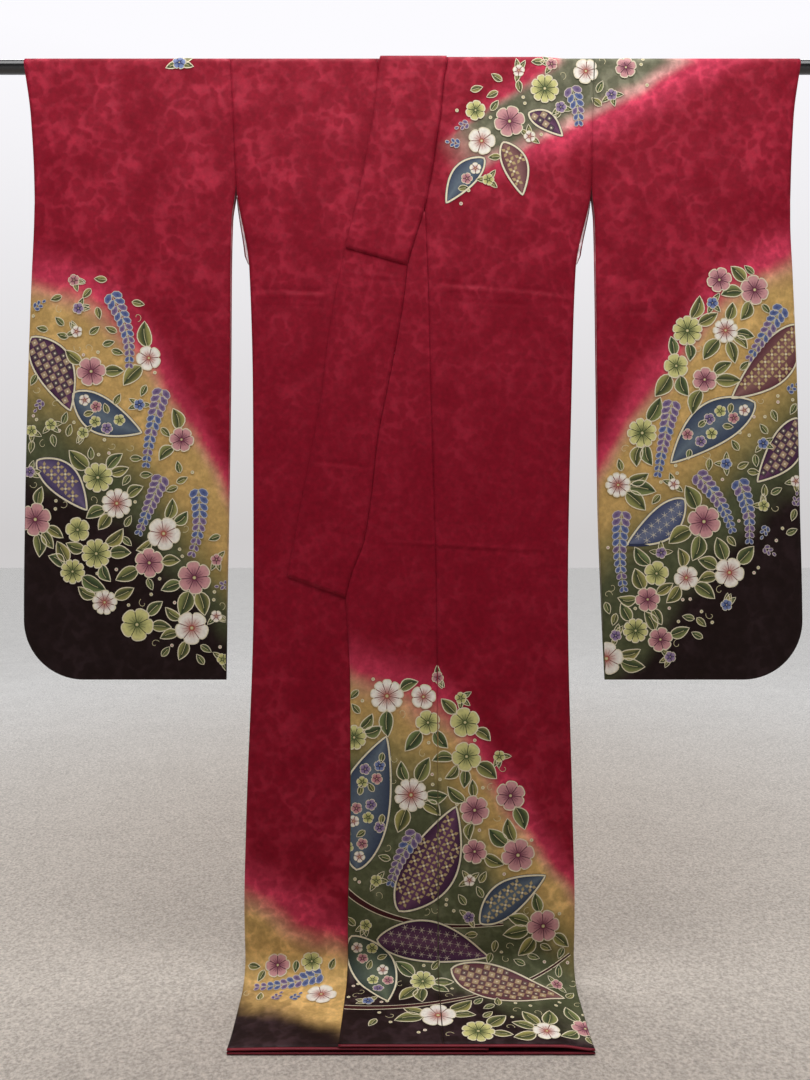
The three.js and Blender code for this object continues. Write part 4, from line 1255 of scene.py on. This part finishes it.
# Where the scattered motifs may lie: from top to bottom at places across the cloth
SLEEVE_RIGHT_REGION = table(
    "x top bottom", (-636, 400, 800), (-560, 345, 870), (-500, 345, 925), (-450, 392, 960), (-400, 545, 985),
    (-350, 700, 1000), (-312, 830, 1000))
SLEEVE_LEFT_REGION = table(
    "x top bottom", (322, 690, 1000), (380, 560, 1000), (440, 420, 985), (500, 335, 930), (560, 325, 860),
    (600, 380, 800), (640, 390, 780))
HEM_LEFT_REGION = table(
    "x top bottom",
    (-102, 1040, 1600), (-60, 1010, 1640), (0, 1000, 1660), (60, 1000, 1672), (110, 1060, 1672),
    (150, 1150, 1674), (190, 1260, 1676), (230, 1370, 1676), (262, 1440, 1676))
HEM_RIGHT_REGION = table("x top bottom", (-268, 1470, 1562), (-200, 1480, 1566), (-130, 1486, 1566))
SHOULDER_REGION = table(
    "x top bottom",
    (62, 66, 250), (110, 36, 215), (160, 8, 175), (220, -14, 120), (290, -20, 76), (392, -12, 40))
SHOULDER_BACK_REGION = table("x top bottom", (70, 80, 230), (130, 50, 200), (210, 14, 140), (292, 12, 84))
HEM_BACK_REGION = table(
    "x top bottom",
    (-262, 1405, 1492), (-180, 1345, 1492), (-60, 1285, 1492), (80, 1270, 1492),
    (180, 1320, 1492), (262, 1395, 1492))


def paint_panel(seed, region, counts, parts, **motifs):
    """Paints a panel's placed motifs, kind by kind, and its garden, and lays its parts on the cloth."""
    painting = Painting(seed, region)
    for kind, rows in motifs.items():
        for row in rows:
            getattr(painting, kind)(*row)
    painting.garden(*counts)
    for part in parts:
        painting.lay(*part)


AUBERGINE = (paint(112, 70, 100), paint(60, 28, 58))
RUSSET = (paint(142, 100, 94), paint(94, 46, 58))
SLATE = (paint(100, 112, 124), paint(54, 64, 88))
SAGE = (paint(98, 108, 88), paint(50, 60, 56))
LILAC = (paint(112, 96, 128), paint(66, 54, 92))
STEEL = (paint(110, 116, 140), paint(62, 70, 104))

SLEEVE_PANELS = (
    (-1, 40, SLEEVE_RIGHT_REGION, (15, 6, 5, 230), (
        (-632, 450, 0.5, 140, 64, 10, "checks", AUBERGINE),
        (-560, 545, 1.05, 130, 58, -9, "garden", SLATE),
        (-622, 655, 0.8, 118, 52, 8, "rings", LILAC))),
    (1, 51, SLEEVE_LEFT_REGION, (16, 6, 5, 230), (
        (642, 430, -0.75, 168, 66, 12, "rings", RUSSET),
        (566, 560, -0.95, 170, 70, -12, "garden", SLATE),
        (643, 585, -0.6, 128, 56, 9, "checks", AUBERGINE),
        (450, 720, -0.9, 120, 52, 9, "stars", STEEL))))

for face in (-1, 1):
    for side, seed, region, counts, cartouches in SLEEVE_PANELS:
        name = "sleeve_%s_%s_paint" % (HAND[side], "front" if face < 0 else "back")
        paint_panel(seed - face, region, counts, [
            (name, sleeve_surface(side, face), *sleeve_limits(side), face)], cartouche=cartouches)

paint_panel(
    63, HEM_LEFT_REGION, (17, 6, 5, 240), [
        ("okumi_left_paint", FRONT, edge(OKUMI_EDGE, "x", 1), edge(OKUMI_SEAM, "x", -1), -1),
        ("front_left_paint", FRONT, edge(OKUMI_SEAM, "x", 1), edge(BODY_SIDES, "left", -1), -1)],
    branch=[
        ((-130, 1340), (-60, 1440), (150, 1420), 10),
        ((-130, 1590), (50, 1620), (262, 1475), 9)],
    cartouche=[
        (-92, 1330, math.pi - 0.22, 225, 88, 12, "garden", SLATE),
        (-22, 1398, math.pi - 0.5, 196, 86, -12, "rings", AUBERGINE),
        (-58, 1446, 1.4, 186, 72, 10, "stars", AUBERGINE),
        (64, 1500, 1.25, 186, 78, -10, "checks", RUSSET),
        (-100, 1440, 0.42, 150, 70, 10, "garden", SAGE),
        (112, 1418, math.pi - 0.95, 132, 54, 8, "rings", SLATE)])

paint_panel(
    64, HEM_RIGHT_REGION, (2, 0, 3, 60), [
        ("front_right_paint", front_surface(lower_front_out), edge(BODY_SIDES, "right", 1),
         edge(OKUMI_EDGE, "x", -1), -1)],
    raceme=[(-146, 1506, -1.42, 112, 10, (BLUE, VIOLET))],
    blossom=[(-166, 1486, 17, 6, LIME)])

paint_panel(
    67, HEM_BACK_REGION, (15, 6, 4, 200), [
        ("back_right_paint", back_surface, edge(BODY_SIDES, "right", 1), middle_line(-1), 1),
        ("back_left_paint", back_surface, middle_line(1), edge(BODY_SIDES, "left", -1), 1)],
    branch=[((-250, 1488), (-60, 1500), (150, 1425), 8)],
    cartouche=[
        (-150, 1476, math.pi + 1.15, 108, 46, 8, "checks", RUSSET),
        (-120, 1474, math.pi - 0.5, 150, 66, 10, "garden", SLATE),
        (-10, 1470, math.pi - 0.75, 165, 72, -10, "rings", AUBERGINE),
        (84, 1476, math.pi - 1.15, 150, 62, 10, "garden", SAGE)])

paint_panel(
    71, SHOULDER_REGION, (0, 0, 0, 70), [
        ("shoulder_left_paint", FRONT, edge(COLLAR_LINES, "seam", 1), edge(BODY_SIDES, "left", -1), -1),
        ("sleeve_top_left_paint", sleeve_surface(1, -1), *sleeve_limits(1), -1)],
    cartouche=[
        (150, 132, 0.35, 92, 40, 6, "rings", RUSSET), (118, 158, -0.7, 96, 40, -6, "garden", SLATE),
        (192, 84, 1.0, 66, 30, 5, "checks", AUBERGINE)],
    blossom=[
        (218, 44, 23, 9, LIME), (160, 98, 25, 6, PINK), (114, 130, 22, 5, WHITE), (104, 80, 16, 6, LIME),
        (286, 14, 20, 5, WHITE), (352, 8, 17, 6, PINK)],
    raceme=[(261, 38, 0.15, 66, 6, (VIOLET, BLUE))])

paint_panel(
    72, SHOULDER_BACK_REGION, (0, 0, 0, 60), [
        ("shoulder_back_paint", back_surface, middle_line(1), edge(BODY_SIDES, "left", -1), 1)],
    cartouche=[(150, 132, 0.5, 100, 44, 6, "garden", SLATE), (200, 96, 0.9, 76, 34, 5, "rings", AUBERGINE)],
    blossom=[
        (236, 46, 24, 6, PINK), (182, 74, 22, 9, LIME), (128, 110, 25, 5, WHITE), (284, 40, 16, 6, LIME)])

paint_panel(
    73, SLEEVE_RIGHT_REGION, (0, 0, 0, 0), [
        ("sleeve_top_right_paint", sleeve_surface(-1, -1), *sleeve_limits(-1), -1)],
    blossom=[(-384, 0, 11, 5, BLUE)],
    leaf=[(-384, 0, angle, 24, 11) for angle in (1.3, 2.0, -1.2)])

# ---------------------------------------------------------------- stage, light and camera

FLOOR_REACH, FLOOR_GAP = 20000.0, 1.0
corners = np.array([(-1, -1, 0), (1, -1, 0), (1, 1, 0), (-1, 1, 0)]) * FLOOR_REACH
floor = new_mesh("floor", corners + (0, 0, FLOOR - FLOOR_GAP), np.array([[0, 1, 2, 3]]), carpet_material())


def light(name, kind, power, spot, aim, **sizes):
    lamp = bpy.data.lights.new(name, kind)
    lamp.energy = power
    for key, value in sizes.items():
        setattr(lamp, key, value)
    made = into_scene(name, lamp)
    made.location = spot
    made.rotation_euler = (Vector(aim) - Vector(spot)).to_track_quat("-Z", "Y").to_euler()


panel = {"shape": "RECTANGLE", "size": 2.6, "size_y": 0.8}
light("ceiling", "AREA", 27, (0.0, -0.75, 0.85), (0.0, -0.1, -0.3), **panel)
light("ceiling behind", "AREA", 24, (0.0, 0.9, 0.85), (0.0, 0.1, -0.3), **panel)
light("room", "AREA", 1.5, (-0.4, -3.2, 0.5), (0.0, 0.0, -0.9), shape="RECTANGLE", size=3.0, size_y=2.0)
light("daylight", "SUN", 1.7, (0.0, 0.0, 3.0), (0.0, 0.0, 0.0), angle=0.6)


def room_world():
    """A bright wall-like backdrop, white above and greyer towards the floor, and a dimmer fill of light. The
    grey lower down is painted shade, as on a wall lit from above.
    """
    world = bpy.data.worlds.new("room")
    world.use_nodes = True
    room, ends = Nodes(world.node_tree), world.node_tree.nodes
    height = room.add("SeparateXYZ", "Z", {"Vector": room.add("TexCoord", "Generated")})
    # Painted shade: the backdrop greys towards the horizon, as a wall lit from above would
    wall = room.ramp(height, paint(206, 203, 203), paint(252, 251, 255), 0.5)
    seen = room.add("Background", 0, {"Color": wall})
    room.feed(ends["Background"], {"Color": (0.92, 0.95, 1.0, 1), "Strength": 0.11})
    sockets = {"Fac": room.add("LightPath", "Is Camera Ray"), 1: ends["Background"].outputs[0], 2: seen}
    room.feed(ends["World Output"], {"Surface": room.add("MixShader", 0, sockets)})
    bpy.context.scene.world = world


room_world()
bpy.context.scene.view_settings.view_transform = "Standard"

# A level view from 1.35 m in front of the rod, as wide as a 27 mm lens gives
lens = bpy.data.cameras.new("camera")
lens.sensor_width, lens.lens = 36.0, 27.03
camera = into_scene("camera", lens)
camera.location = (-0.012, -1.35, -0.787)
camera.rotation_euler = (math.pi / 2, 0, 0)
bpy.context.scene.camera = camera
